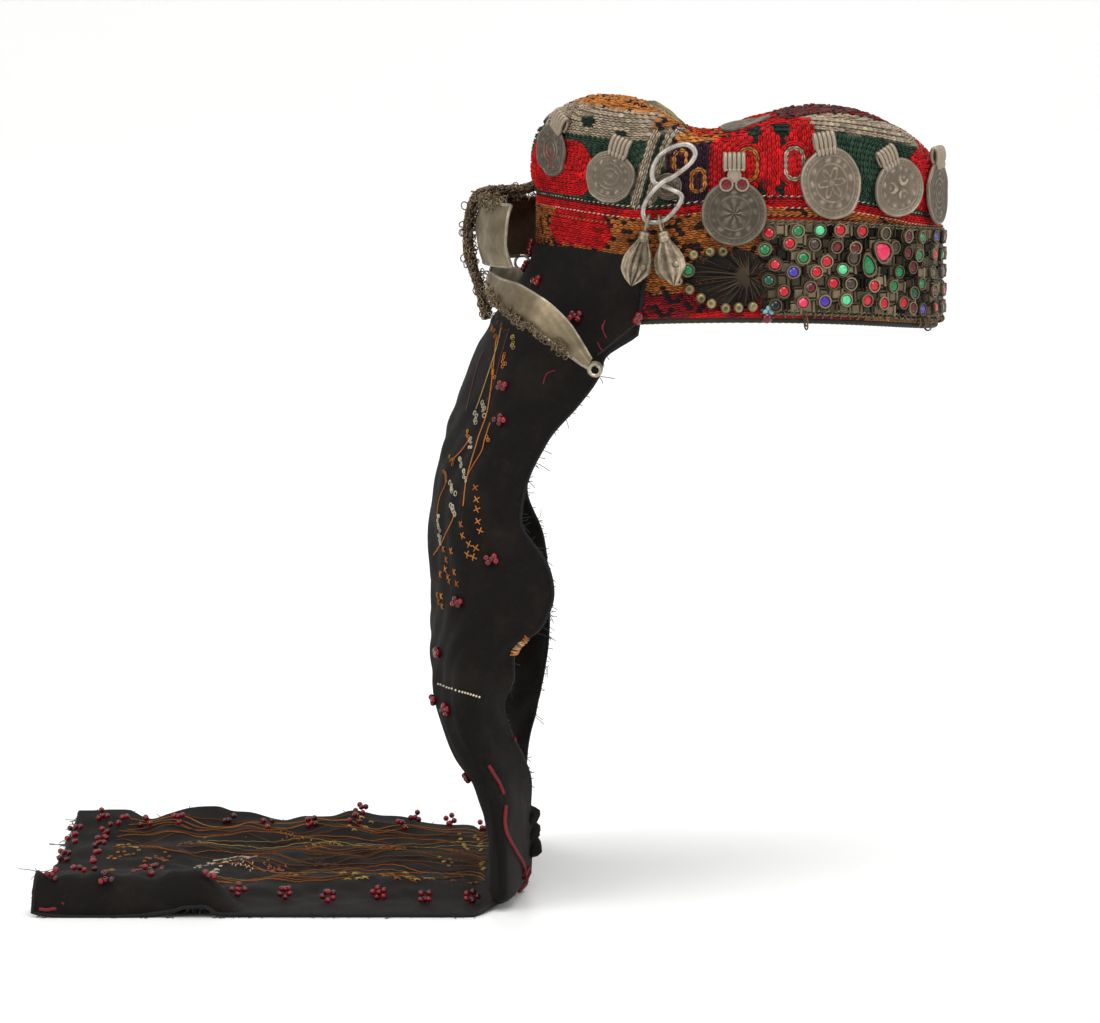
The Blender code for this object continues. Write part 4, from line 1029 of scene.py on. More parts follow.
COIN_ROWS = (
    # name, turn, radius as a share, oval, roll, bail distance, wobble of the edge, ornament
    ("coin_1", -153.0, 0.87, 0.95, 31.0, 1.05, 0.040, "rings"),
    ("coin_2", -122.0, 0.82, 1.00, 20.0, 1.12, 0.022, "rings"),
    ("coin_3", -91.3, 1.00, 1.00, 0.0, 1.50, 0.006, "star"),
    ("coin_4", -72.5, 1.12, 0.84, -10.0, 1.03, 0.014, "rosette"),
    ("coin_5", -49.0, 0.90, 1.05, -27.0, 1.10, 0.018, "crescent"),
    ("coin_6", -22.0, 0.98, 0.90, -3.0, 1.08, 0.016, "rings"),
    ("coin_7", 28.0, 0.95, 1.00, 0.0, 1.08, 0.015, "rosette"),
    ("coin_8", 58.0, 0.95, 1.00, 0.0, 1.08, 0.012, "star"),
    ("coin_9", 90.0, 0.95, 1.00, 0.0, 1.08, 0.014, "crescent"),
    ("coin_10", 121.0, 0.95, 1.00, 0.0, 1.08, 0.020, "rings"),
    ("coin_11", 150.0, 0.90, 1.00, 0.0, 1.08, 0.018, "rosette"),
)
STATION_ROWS = ((-0.24, 0.88), (0.24, 0.88), (0.0, 1.16))
COIN_RELIEF = 0.00080
COIN_TONES = {"coin_1": 0.80, "coin_3": 0.66, "coin_4": 1.20, "coin_5": 1.15}
# The coin colour's dark end goes in recesses and its bright end on the relief: tarnish and wear, and also
# painted shade and painted highlight.
COIN_DARK = np.array([0.050, 0.040, 0.029])
COIN_BRIGHT = np.array([0.380, 0.310, 0.235])
COIN_ROUND = 72
BAIL_RIBS = 5


def bump_at(value, middle, width):
    """A round bump of height 1: e to the minus square of the distance over the width."""
    return np.exp(-(((value - middle) / width) ** 2))


def coin_relief(share, angle, ornament):
    """The coin's face: a rim, a ring of dots, a plain ring, an arc of short bars, and in the middle
    rings, a star, a rosette or crescents, all as bumps over the radius and the angle."""
    height = 0.9 * bump_at(share, 0.955, 0.036)
    height = height + 0.8 * bump_at(share, 0.865, 0.028) * (0.5 + 0.5 * np.cos(32 * angle))
    height = height + 0.6 * bump_at(share, 0.775, 0.020)
    bars = np.clip(1.4 * np.sin(13 * angle) + 1.1 * np.sin(8 * angle + 1), 0, 1)
    height = height + 0.8 * bump_at(share, 0.645, 0.065) * bars
    x, y = share * np.cos(angle), share * np.sin(angle)
    if ornament == "rings":
        circles = bump_at(share, 0.48, 0.02) + bump_at(share, 0.30, 0.02)
        height = height + 0.7 * (circles + bump_at(share, 0.0, 0.09))
    if ornament == "star":
        height = height + 0.8 * np.clip(1 - share / 0.5, 0, 1) ** 0.4 * (np.cos(8 * angle) > 0.1)
        height = height + 0.6 * bump_at(share, 0.52, 0.02)
    if ornament == "rosette":
        petals = 0.30 + 0.14 * np.cos(6 * angle)
        height = height + 0.8 * bump_at(share, petals, 0.035) + 0.8 * bump_at(share, 0.0, 0.07)
        height = height + 0.5 * bump_at(share, 0.53, 0.02)
    if ornament == "crescent":
        for turn in (0.6, 2.7, 4.8):
            mid_x, mid_y = 0.28 * math.cos(turn), 0.28 * math.sin(turn)
            away = np.hypot(x - mid_x, y - mid_y)
            open_side = np.hypot(x - mid_x * 1.35, y - mid_y * 1.35)
            height = height + 0.9 * ((away < 0.20) & (open_side > 0.15))
            height = height + 0.8 * bump_at(open_side, 0.0, 0.05)
    return height


def coin_part(radius, oval, wobble, ornament, seed, tone=1.0):
    """A struck coin, its face towards -Y: rings from the middle out, over the rim and back in."""
    angle = np.arange(COIN_ROUND) * 2 * math.pi / COIN_ROUND
    chance = np.random.default_rng(seed)
    edge = np.ones(COIN_ROUND)
    for waves in (2, 3, 5, 7, 11):
        edge += wobble * chance.normal() * np.sin(waves * angle + 6 * chance.random()) / math.sqrt(waves)
    share = np.linspace(0.03, 1.0, 38)
    raised = coin_relief(share[:, None], angle[None] + 0.02 * np.sin(share[:, None] * 31 + seed), ornament)
    rubbed = 0.72 + 0.34 * np.sin(2 * angle + seed)[None] * np.sin(5 * share[:, None] + seed)
    rubbed = rubbed + 0.16 * np.sin(9 * angle[None] + 4 * seed + 11 * share[:, None])
    raised = raised * np.clip(rubbed, 0.15, 1.0)
    relief = COIN_RELIEF * raised
    face = -COIN_WALL * 0.78 - relief
    dish = 0.0006 * share[:, None] ** 2 * np.sin(angle * 2 + seed)[None]
    shares = np.concatenate([share, [1.012, 0.99, 0.5, 0.03]])
    rim = 0 * angle - COIN_WALL * 0.4 + dish[-1]
    depth = np.concatenate([face + dish, np.stack([rim, dish[-1], dish[-1] * 0.3, 0 * angle])])
    x = radius * oval * shares[:, None] * np.cos(angle) * edge
    z = radius * shares[:, None] * np.sin(angle) * edge
    points = np.stack([x, depth, z], axis=-1)
    rows = len(shares)
    quads = grid_faces(rows, COIN_ROUND, wrap=True)
    middle = COIN_ROUND - 1 - np.arange(COIN_ROUND)[None]
    back = (rows - 1) * COIN_ROUND + np.arange(COIN_ROUND)[None]
    # Painted shade and highlight: raised relief takes the bright colour and recesses the dark one, besides
    # tarnish and wear.
    bright = np.concatenate([raised, np.full((4, COIN_ROUND), 0.7)]).clip(0, 1)[..., None]
    dyes = tone * (COIN_DARK + (COIN_BRIGHT - COIN_DARK) * (0.20 + 0.64 * bright))
    return [points, [quads[:, ::-1], middle[:, ::-1], back[:, ::-1]], dyes.reshape(-1, 3)]


def bail_part(lift, low, width, ribs=BAIL_RIBS):
    """Ribs side by side, each a wire that rises behind the coin, loops over and runs down its face."""
    wire = width / ribs / 2
    angle = np.radians(np.linspace(-70, 235, 15))
    y = -COIN_WALL / 2 + (BAIL_RADIUS * 0.62 - wire * 0.5) * np.cos(angle)
    z = lift + (BAIL_RADIUS * 1.25 - wire * 0.5) * np.sin(angle)
    y = np.concatenate([y, [-COIN_WALL - wire * 0.5] * 3])
    z = np.concatenate([z, np.linspace(lift - BAIL_RADIUS * 1.15, low, 3)])
    place = (np.arange(ribs) - (ribs - 1) / 2)[:, None] * wire * 2
    pinch = np.concatenate([np.ones(15), [0.92, 0.88, 0.9]])
    x = place * pinch
    paths = np.stack([x, y + 0 * place, z + 0 * place], axis=-1)
    radii = np.full(len(y), wire * 1.05)
    radii[-1] *= 0.6
    return tubes(paths, radii, (1, 0, 0), 8, dyes=COIN_BRIGHT[None] * 0.82)


def dress_coins():
    """Each coin with its ribbed bail, turned to the wall and set where its solid is."""
    silver = struck_finish("coin silver")
    garnet = glass_finish("set stones")
    for number, (name, turn, size, oval, roll, reach, wobble, ornament) in enumerate(COIN_ROWS):
        radius = COIN_RADIUS * size
        frame_ = facing(math.radians(turn), math.radians(roll))
        lift = max(radius * reach, radius + BAIL_BORE) + BAIL_RADIUS * 0.3
        angle = np.linspace(0, 2 * math.pi, 49)
        disc = np.stack([radius * oval * np.cos(angle), 0 * angle, radius * np.sin(angle)], axis=-1)
        loop = np.stack([0 * angle, BAIL_RADIUS * 0.62 * np.cos(angle) - COIN_WALL / 2,
                         lift + BAIL_RADIUS * 1.25 * np.sin(angle)], axis=-1)
        half = np.array([BAIL_LENGTH / 2, 0, 0])
        local = np.concatenate([disc, disc - (0, COIN_WALL, 0), loop - half, loop + half])
        offset = settled(name, local, frame_)
        low = radius * (0.78 if reach < 1.3 else 1.30)
        face = coin_part(radius, oval, wobble, ornament, number + 3, COIN_TONES.get(name, 1.0))
        parts = [face, bail_part(lift, low, BAIL_LENGTH * 0.92)]
        if name == "coin_3":
            centres = np.array([(radius * u, -COIN_WALL * 0.9, radius * v) for u, v in STATION_ROWS])
            out, side = np.array([(0.0, -1.0, 0.0)] * 3), np.array([(1.0, 0.0, 0.0)] * 3)
            wall = np.array([(1.0, -0.8), (1.02, 0.15), (0.94, 0.32), (0.80, 0.32), (0.74, 0.12)])
            cup = wall * (0.0034, 0.0034)
            parts.append(lathes(centres, out, side, cup, 18, np.array([COIN_BRIGHT] * 3)))
            stones = np.array([(0.76, 0.05), (0.62, 0.26), (0.34, 0.32)]) * 0.0034
            part = lathes(centres[:2], out[:2], side[:2], stones, 8, np.array([(0.10, 0.006, 0.010)] * 2))
            stone = piece("station_stones", [moved(part, frame_, offset)], garnet, 20)
            stone.data.polygons.foreach_set("use_smooth", [False] * len(stone.data.polygons))
        turned = [moved(part, frame_, offset) for part in parts]
        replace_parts(piece(name + "_silver", turned, silver, 50), name)
    lay_loose_coins(silver)


LOOSE_ROWS = (
    # node, radius as a share, stretch along X and Y, turns about X and Y in degrees, ornament
    ("top_coin", 0.80, 1.00, 1.00, 4.0, -15.0, "rings"),
    ("dent_plate", 0.62, 1.25, 0.72, 10.0, 33.0, "rosette"),
)


def lay_loose_coins(silver):
    """The coin on the front lobe and the plate in the dent lie face up; the small disc stands."""
    brass = silver_finish("old brass", (0.36, 0.29, 0.15), (0.050, 0.038, 0.018))
    for number, (name, size, along, across, about_x, about_y, ornament) in enumerate(LOOSE_ROWS):
        frame_ = spin(math.radians(about_y), "Y") @ spin(math.radians(about_x), "X")
        frame_ = frame_ @ np.diag([along, across, 1.0]) @ spin(math.radians(-90), "X")
        part = coin_part(COIN_RADIUS * size, 1.0, 0.03, ornament, 31 + number)
        turned = moved(part, frame_, settled(name, part[0], frame_))
        finish = brass if name == "dent_plate" else silver
        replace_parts(piece(name + "_metal", [turned], finish, 50), name)
    frame_ = facing(math.radians(-105.0))
    part = coin_part(COIN_RADIUS * 0.42, 1.0, 0.02, "rings", 44)
    turned = moved(part, frame_, settled("small_disc", part[0], frame_))
    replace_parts(piece("small_disc_silver", [turned], silver, 50), "small_disc")


HOOK_ROWS = (
    # sideways as a share of its width, up as a share of its height, depth in wire radii
    (0.20, 0.52, 1.1), (0.18, 0.68, 0.6), (0.34, 0.87, 0.0), (0.62, 0.98, 0.0), (0.88, 1.00, 0.0),
    (1.02, 0.90, 0.0), (0.92, 0.76, 0.0), (0.62, 0.60, -0.5), (0.40, 0.52, -1.1), (0.20, 0.40, -0.8),
    (0.04, 0.24, 0.0), (0.00, 0.10, 0.0), (0.10, 0.00, 0.0), (0.34, 0.00, 0.0), (0.52, 0.08, 0.0),
    (0.72, 0.24, 0.0), (0.74, 0.35, 0.4), (0.56, 0.42, 0.9), (0.36, 0.47, 1.2),
)
PENDANT_ROWS = (
    # node, roll and lean in degrees, ribs, their depth, lean of the ribs
    ("leaf_pendant_rear", 14.0, -4.0, 9, 0.42, 0.5),
    ("leaf_pendant_front", -14.0, -9.0, 6, 0.46, -0.2),
)
LEAF_WIDTH = 0.0150
LEAF_HEIGHT = 0.0232
LEAF_WALL = 0.0030
LEAF_STEPS = 26
LEAF_ROUND = 44


def rounded(points, pieces):
    """Points on a smooth closed curve through the given ones."""
    before, after, beyond = (np.roll(points, shift, axis=0) for shift in (1, -1, -2))
    t = (np.arange(pieces) / pieces)[:, None, None]
    found = 0.5 * (
        2 * points
        + (after - before) * t
        + (2 * before - 5 * points + 4 * after - beyond) * t**2
        + (3 * points - before - 3 * after + beyond) * t**3
    )
    return found.transpose(1, 0, 2).reshape(-1, 3)


def leaf_part(ribs, rib_depth, slant):
    """A shell: rings down its height, its half width off a curve, its face bulging with ribs that
    fan out from the cap, and a scalloped lower edge."""
    down = np.linspace(0, 1, LEAF_STEPS)[:, None]
    width = smooth_between(
        (0.0, 0.12, 0.30, 0.55, 0.75, 0.90, 1.0), (0.14, 0.20, 0.36, 0.49, 0.46, 0.26, 0.03), down
    )
    angle = np.arange(LEAF_ROUND) * 2 * math.pi / LEAF_ROUND
    x = LEAF_WIDTH * width * np.cos(angle)
    rib = np.cos(angle)[None] * math.pi * ribs / 2 + slant * down * 3
    thick = LEAF_WALL * (0.30 + 0.9 * width) * np.sin(angle)
    y = -thick * (1 + rib_depth * np.cos(rib) * np.clip(down * 5, 0, 1)) * 0.9
    scallop = 0.0011 * np.cos(rib) * down**3
    points = np.stack([x, y, -LEAF_HEIGHT * down - scallop], axis=-1)
    quads = grid_faces(LEAF_STEPS, LEAF_ROUND, wrap=True)
    top = np.arange(LEAF_ROUND)[None]
    low = (LEAF_STEPS - 1) * LEAF_ROUND + top
    return [points, [quads, top[:, ::-1], low]]


def dress_hook():
    """The bent wire along a smooth closed curve, and the two leaves under their caps and eyes."""
    bright = silver_finish("worn bright silver", (0.60, 0.55, 0.48), (0.11, 0.095, 0.075), 0.34)
    rows = [((u - 0.5) * HOOK_WIDTH, depth * HOOK_WIRE, v * HOOK_HEIGHT) for u, v, depth in HOOK_ROWS]
    path = rounded(np.array(rows), 8)
    frame_ = facing(math.radians(HOOK_TURN))
    swell = 1 + 0.06 * np.sin(np.arange(len(path)) * 0.21)
    part = tubes(path[None], (HOOK_WIRE * swell)[None], (0, 1, 0), 14, True)
    turned = moved(part, frame_, settled("s_hook", part[0], frame_))
    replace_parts(piece("bent_wire_hook", [turned], bright), "s_hook")
    leaf_silver = silver_finish("leaf silver", (0.42, 0.345, 0.245), (0.060, 0.047, 0.032), 0.40)
    for name, roll, lean, ribs, rib_depth, slant in PENDANT_ROWS:
        frame_ = facing(math.radians(HOOK_TURN), math.radians(roll), math.radians(lean))
        cap_low = -LEAF_HEIGHT * 0.08
        down = np.array([(0.0, 0.0, 0.0)])
        axis, side = np.array([(0.0, 0.0, 1.0)]), np.array([(1.0, 0.0, 0.0)])
        cap = np.array([(0.0022, cap_low - 0.0012), (0.0028, cap_low), (0.0029, cap_low + 0.0008),
                        (0.0026, cap_low + 0.0013), (0.0027, cap_low + 0.0022), (0.0028, cap_low + 0.0030),
                        (0.0022, cap_low + 0.0037), (0.0010, cap_low + 0.0041)])
        eye = np.array([(0.0, 0.0, cap_low + 0.0036 + 0.0040)])
        parts = [
            leaf_part(ribs, rib_depth, slant),
            lathes(down, axis, side, cap, 20),
            rings(eye, (1.0, 0.0, 0.0), 0.0040, 0.00072, 24, 8),
            balls([(LEAF_WIDTH * 0.22, -LEAF_WALL * 0.62, -LEAF_HEIGHT * 0.62)], 0.0015),
        ]
        box_points = np.concatenate([part[0].reshape(-1, 3) for part in parts[:3]])
        offset = settled(name, box_points, frame_)
        turned = [moved(part, frame_, offset) for part in parts]
        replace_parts(piece(name + "_silver", turned, leaf_silver, 60), name)


# The jewelled band
RUBY = (0.36, 0.006, 0.014)
DARK_RUBY = (0.075, 0.005, 0.008)
EMERALD = (0.006, 0.13, 0.040)
BRIGHT_GREEN = (0.07, 0.42, 0.20)
DARK_EMERALD = (0.006, 0.055, 0.030)
VIOLET = (0.035, 0.018, 0.24)
ROSE = (0.50, 0.020, 0.070)
SMOKE = (0.040, 0.025, 0.018)
JET = (0.006, 0.006, 0.008)
PALE_BLUE = (0.12, 0.28, 0.34)
STONE_ROWS = (
    # turn in degrees on the wearer's right, height as a share of the band's, glass
    (85, 0.88, RUBY), (78, 0.91, EMERALD), (72, 0.92, BRIGHT_GREEN), (66, 0.93, RUBY),
    (59, 0.93, RUBY), (50.5, 0.92, SMOKE), (40.5, 0.90, DARK_RUBY), (33, 0.90, EMERALD),
    (86, 0.70, EMERALD), (80, 0.77, RUBY), (73.5, 0.76, SMOKE), (67, 0.75, DARK_RUBY),
    (61, 0.74, DARK_RUBY), (46.5, 0.77, SMOKE), (40.5, 0.72, DARK_RUBY), (34.5, 0.70, EMERALD),
    (83.5, 0.54, RUBY), (76.5, 0.61, EMERALD), (70, 0.58, RUBY), (38, 0.56, DARK_RUBY),
    (85, 0.36, DARK_EMERALD), (79, 0.46, VIOLET), (73, 0.46, RUBY), (65, 0.49, BRIGHT_GREEN),
    (44.5, 0.50, EMERALD), (74.5, 0.29, DARK_RUBY), (68, 0.34, RUBY), (62.5, 0.34, SMOKE),
    (54.5, 0.33, RUBY), (47, 0.34, EMERALD), (33, 0.38, EMERALD), (81.5, 0.24, RUBY),
    (57, 0.17, RUBY), (37, 0.27, DARK_EMERALD), (76.5, 0.12, ROSE), (70.5, 0.14, VIOLET),
    (64, 0.16, BRIGHT_GREEN), (51, 0.14, RUBY), (42.5, 0.16, RUBY), (38, 0.10, DARK_RUBY),
    (32.5, 0.10, VIOLET), (83.5, 0.08, JET),
)
DROP_ROWS = (
    # turn in degrees, height as a share, length and width in collets, lean, glass
    (51.5, 0.72, 2.00, 2.15, 52.0, ROSE),
    (56.5, 0.565, 1.95, 1.50, 20.0, EMERALD),
    (61.5, 0.645, 1.50, 1.40, -25.0, SMOKE),
)
HIDDEN_STONE_ROWS = (0.12, 0.31, 0.52, 0.72, 0.91)
HIDDEN_STONE_TURNS = (24, 14, 4, -6, -16, -26, -35, -43, -51, -58, -65, -72, -79, -85)
HIDDEN_GLASS = (RUBY, EMERALD, DARK_RUBY, SMOKE, BRIGHT_GREEN, RUBY, VIOLET)
LINK_ROWS = 7
LINK_WIDTH = 6.1
BAND_BRIGHT = np.array([0.230, 0.180, 0.112])
BACKING_WALL = 0.0006
ROPE_HEIGHTS = (-0.012, 0.03, 0.985, 1.015)
ROPE_WIRE = 0.00042
ROPE_POINTS = 520


def jewel_frames(turns, shares, out):
    """Places on the jewelled band with the directions out of it and along it."""
    turns = np.asarray(turns, float)
    low = rim_height(turns) + STONE_BAND_LIFT
    ahead = np.stack(ring(turns + 0.004), axis=-1) - np.stack(ring(turns - 0.004), axis=-1)
    along = unit(np.stack([ahead[:, 0], ahead[:, 1], 0 * turns], axis=-1))
    away = np.stack([along[:, 1], -along[:, 0], 0 * turns], axis=-1)
    x, y = ring(turns)
    here = np.stack([x, y, low + STONE_BAND_HEIGHT * np.asarray(shares)], axis=-1)
    return here + away * out, away, along


def blocks(centres, out, side, size_side, size_up, depth, slope=0.82, dyes=None):
    """Low blocks with sloping walls: four corners at the foot and four, drawn in, on top."""
    corners = np.array([(math.sqrt(2), 0.0), (math.sqrt(2), depth * 0.6), (math.sqrt(2) * slope, depth)])
    size_side, size_up = (np.broadcast_to(size, (len(centres),)) for size in (size_side, size_up))
    angle = np.arange(4) * math.pi / 2 + math.pi / 4
    upward = np.cross(out, side)
    flat = np.cos(angle)[None, :, None] * side[:, None] * size_side[:, None, None] / 2
    flat = flat + np.sin(angle)[None, :, None] * upward[:, None] * size_up[:, None, None] / 2
    points = centres[:, None, None] + corners[None, :, :1, None] * flat[:, None]
    points = points + (corners[:, 1:, None] * out[:, None, None]).reshape(len(centres), 3, 1, 3)
    offset = (np.arange(len(centres)) * 12)[:, None, None]
    quads = grid_faces(3, 4, wrap=True)[None] + offset
    caps = [np.array([row]) + offset[:, 0] for row in ((3, 2, 1, 0), (8, 9, 10, 11))]
    # Painted shade: each block's colour is dark at its foot and full on its top.
    shade = np.array([0.06, 0.5, 1.0])[:, None, None]
    dyes = np.broadcast_to(dyes[:, None, None] * shade, points.shape)
    return [points, [quads.reshape(-1, 4), *caps], dyes.reshape(-1, 3)]


def rope(turns, height, out, wire, strands=2, turns_per=0.0046):
    """Twisted wires along the band: each winds round the line at the same pace, evenly out of step."""
    here, away, _ = jewel_frames(turns, height, out)
    length = np.concatenate([[0], np.cumsum(np.linalg.norm(np.diff(here, axis=0), axis=1))])
    parts = []
    for strand in range(strands):
        angle = length / turns_per * 2 * math.pi + strand * 2 * math.pi / strands
        path = here + wire * 0.95 * (np.cos(angle)[:, None] * away + np.sin(angle)[:, None] * (0, 0, 1))
        parts.append(tubes(path[None], wire, (0, 0, 1), 4, dyes=BAND_BRIGHT[None] * (0.75 - 0.35 * strand)))
    return parts


def dress_jewels():
    """The band's dark backing, its collets and stones at their places in the tables, then rows of
    low links with knuckles between them, twisted ropes along the edges and small rings below."""
    dark = struck_finish("band metal")
    glass = bpy.data.materials["set stones"]
    limit = math.radians(STONE_BAND_TURN)
    turns = np.linspace(-limit, limit, 160)
    up = np.linspace(0, 1, 6)[:, None]
    x, y = ring(turns, GAP)
    low = rim_height(turns) + STONE_BAND_LIFT
    points = np.stack([x + 0 * up, y + 0 * up, low + STONE_BAND_HEIGHT * up], axis=-1)
    backing = cloth_finish("band backing", (0.014, 0.010, 0.007), (0.05, 0.035, 0.022))
    back = piece("jewel_backing", [(points, [grid_faces(6, 160)])], backing)
    solidify(back, BACKING_WALL, 1)
    spots, drops = [], []
    for turn, share, glass_dye in STONE_ROWS:
        spots.append((-turn, share, 1.0, 1.0, 0.0, *glass_dye))
    for turn, share, length, width, lean, glass_dye in DROP_ROWS:
        drops.append((-turn, share, length, width, lean, *glass_dye))
    for number, turn in enumerate(HIDDEN_STONE_TURNS):
        for share in HIDDEN_STONE_ROWS:
            pick = HIDDEN_GLASS[(number * 3 + int(share * 7)) % len(HIDDEN_GLASS)]
            aside = 1.6 * math.sin(5 * number + 9 * share)
            spots.append((aside - turn, share, 1.0, 1.0, 0.0, *pick))
    wall = np.array([(1.02, 0.0), (1.06, 0.55), (1.02, 0.92), (0.86, 0.93), (0.78, 0.66)]) * COLLET_RADIUS
    # Painted light and shade on the collets: dark at the foot and inner lip, a painted highlight on the
    # rim.
    cup_shade = (0.15, 0.45, 1.2, 1.1, 0.25)
    stone = np.array([(0.82, 0.45), (0.72, 0.80), (0.40, 1.00)]) * COLLET_RADIUS
    metal, collets, stones = [], [], []
    for group, taper in ((spots, 0.0), (drops, 0.50)):
        table = np.array(group)
        lean = np.radians(table[:, 4])[:, None]
        here, away, along = jewel_frames(np.radians(table[:, 0]), table[:, 1], GAP + STONE_BAND_WALL * 0.35)
        cup_dye = BAND_BRIGHT * draw.uniform(0.30, 1.0, (len(table), 1))
        tipped = np.cos(lean) * along + np.sin(lean) * np.cross(away, along)
        wobble = 0.05 * draw.standard_normal(tipped.shape)
        tilt = unit(away + wobble)
        tipped = unit(np.cross(np.cross(tilt, tipped), tilt))
        for k in range(len(table)):
            stretch = (table[k, 3], table[k, 2])
            at = (here[k], tilt[k], tipped[k])
            collets.append(lathes(*at, wall, 12, cup_dye[k:k + 1], stretch, taper, cup_shade))
            stones.append(lathes(*at, stone, 10, table[k:k + 1, 5:], stretch, taper))
        if not taper:
            foot = here + tilt * COLLET_RADIUS * 0.24
            collets.append(rings(foot, tilt, COLLET_RADIUS * 1.16, ROPE_WIRE, 12, 4, cup_dye * 0.8))
    piece("collets", collets, dark, 40)
    made = piece("set_stones", stones, glass)
    made.data.polygons.foreach_set("use_smooth", [False] * len(made.data.polygons))
    reach = float(round_of(limit))
    columns = int(2 * reach / LINK_WIDTH)
    shares = (np.arange(LINK_ROWS) + 0.5) / LINK_ROWS
    spans = (np.arange(columns) + 0.5) / columns * 2 * reach - reach
    round_, share = np.meshgrid(spans, shares)
    round_ = round_ + (np.arange(LINK_ROWS) % 2)[:, None] * LINK_WIDTH * 0.35
    round_ = round_ + 0.5 * draw.standard_normal(round_.shape)
    share = share + 0.012 * draw.standard_normal(share.shape)
    round_, share = round_.ravel().clip(-reach + 2, reach - 2), share.ravel()
    here, away, along = jewel_frames(turn_of(round_), share, GAP + 0.0005)
    away = unit(away + 0.07 * draw.standard_normal(away.shape))
    along = unit(np.cross(np.cross(away, along), away))
    worn = BAND_BRIGHT * draw.uniform(0.05, 0.95, (len(here), 1)) ** 1.7
    metal.append(blocks(here, away, along, 0.0043, 0.0044, 0.0013, 0.74, worn))
    half = np.cross(away, along) * 0.0026
    between = turn_of((round_ + LINK_WIDTH / 2).clip(-reach, reach))
    knuckle, away, along = jewel_frames(between, share, GAP + 0.0011)
    run = np.stack([knuckle - half, knuckle, knuckle + half], axis=1)
    metal.append(tubes(run, 0.00085, away[:, None], 7, dyes=worn * 1.1))
    cross = along * 0.0021
    for side in (-1, 1):
        edge = share + side * 0.5 / LINK_ROWS
        level, away, along = jewel_frames(turn_of(round_), edge, GAP + 0.0012)
        run = np.stack([level - cross, level, level + cross], axis=1)
        metal.append(tubes(run, 0.00045, away[:, None], 5, dyes=worn * 0.7))
    along_rope = np.linspace(-limit, limit, ROPE_POINTS)
    for height in ROPE_HEIGHTS:
        metal += rope(along_rope, np.full(ROPE_POINTS, height), GAP + 0.0012, ROPE_WIRE)
    below = np.radians(np.linspace(-84, 84, 64))
    here, away, along = jewel_frames(below, np.full(64, -0.02), GAP + 0.0013)
    turned = unit(along + 0.5 * draw.standard_normal(along.shape))
    metal.append(rings(here, turned, 0.0014, 0.00036, 10, 5, BAND_BRIGHT * 0.5))
    hanging = np.radians(np.array([-75.5, -75.5, -31, -29, -34, -27]))
    drop = np.array([-0.09, -0.13, -0.06, -0.03, -0.05, -0.09])
    here, away, along = jewel_frames(hanging, drop, GAP + 0.0016)
    metal.append(rings(here, unit(along + (0.4, 0.3, 0.1)), 0.0021, ROPE_WIRE, 12, 6, BAND_BRIGHT * 0.5))
    jewels = piece("jewel_band_metal", metal, dark, 40)
    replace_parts(jewels, "stone_band")


FAN_ROWS = (
    # bearing in degrees from level towards the back, reach as a share of the fan's, its bead
    (-165, 0.26, "bare"), (-130, 0.34, "bare"), (-98, 0.49, "brass"), (-73, 0.52, "brass"),
    (-55, 0.62, "brass"), (-37, 0.72, "brass"),
    (-25, 0.82, "brass"), (-13, 0.94, "brass"), (-4, 1.10, "brass"), (8, 0.98, "bare"),
    (22, 0.93, "brass"), (34, 0.72, "brass"), (45, 0.57, "brass"), (66, 0.50, "bare"), (90, 0.44, "bare"),
    (125, 0.34, "bare"), (165, 0.26, "bare"),
)
FAN_HAIRS = 170
FAN_STONE = 0.0027
BEAD_PROFILE = (
    # radius and height out of the cap as shares of the bead's radius
    (0.25, -0.9), (0.75, -0.72), (1.0, -0.2), (1.0, 0.25),
    (0.72, 0.75), (0.42, 0.92), (0.36, 0.70), (0.18, 0.66),
)


def turn_at(x):
    """The turn on the wearer's right where the cap's oval passes this X."""
    return -np.arccos(signed_power(np.asarray(x) / HALF_LENGTH, RIM_SQUARENESS / 2))


def fan_place(bearing, reach, out):
    """Points over the cap's wall, by bearing in degrees and distance from the fan's hub."""
    angle = np.radians(bearing)
    turn = turn_at(FAN_HUB - reach * np.cos(angle))
    x, y = ring(turn, out)
    return np.stack([x, y, FAN_RISE + reach * np.sin(angle)], axis=-1)


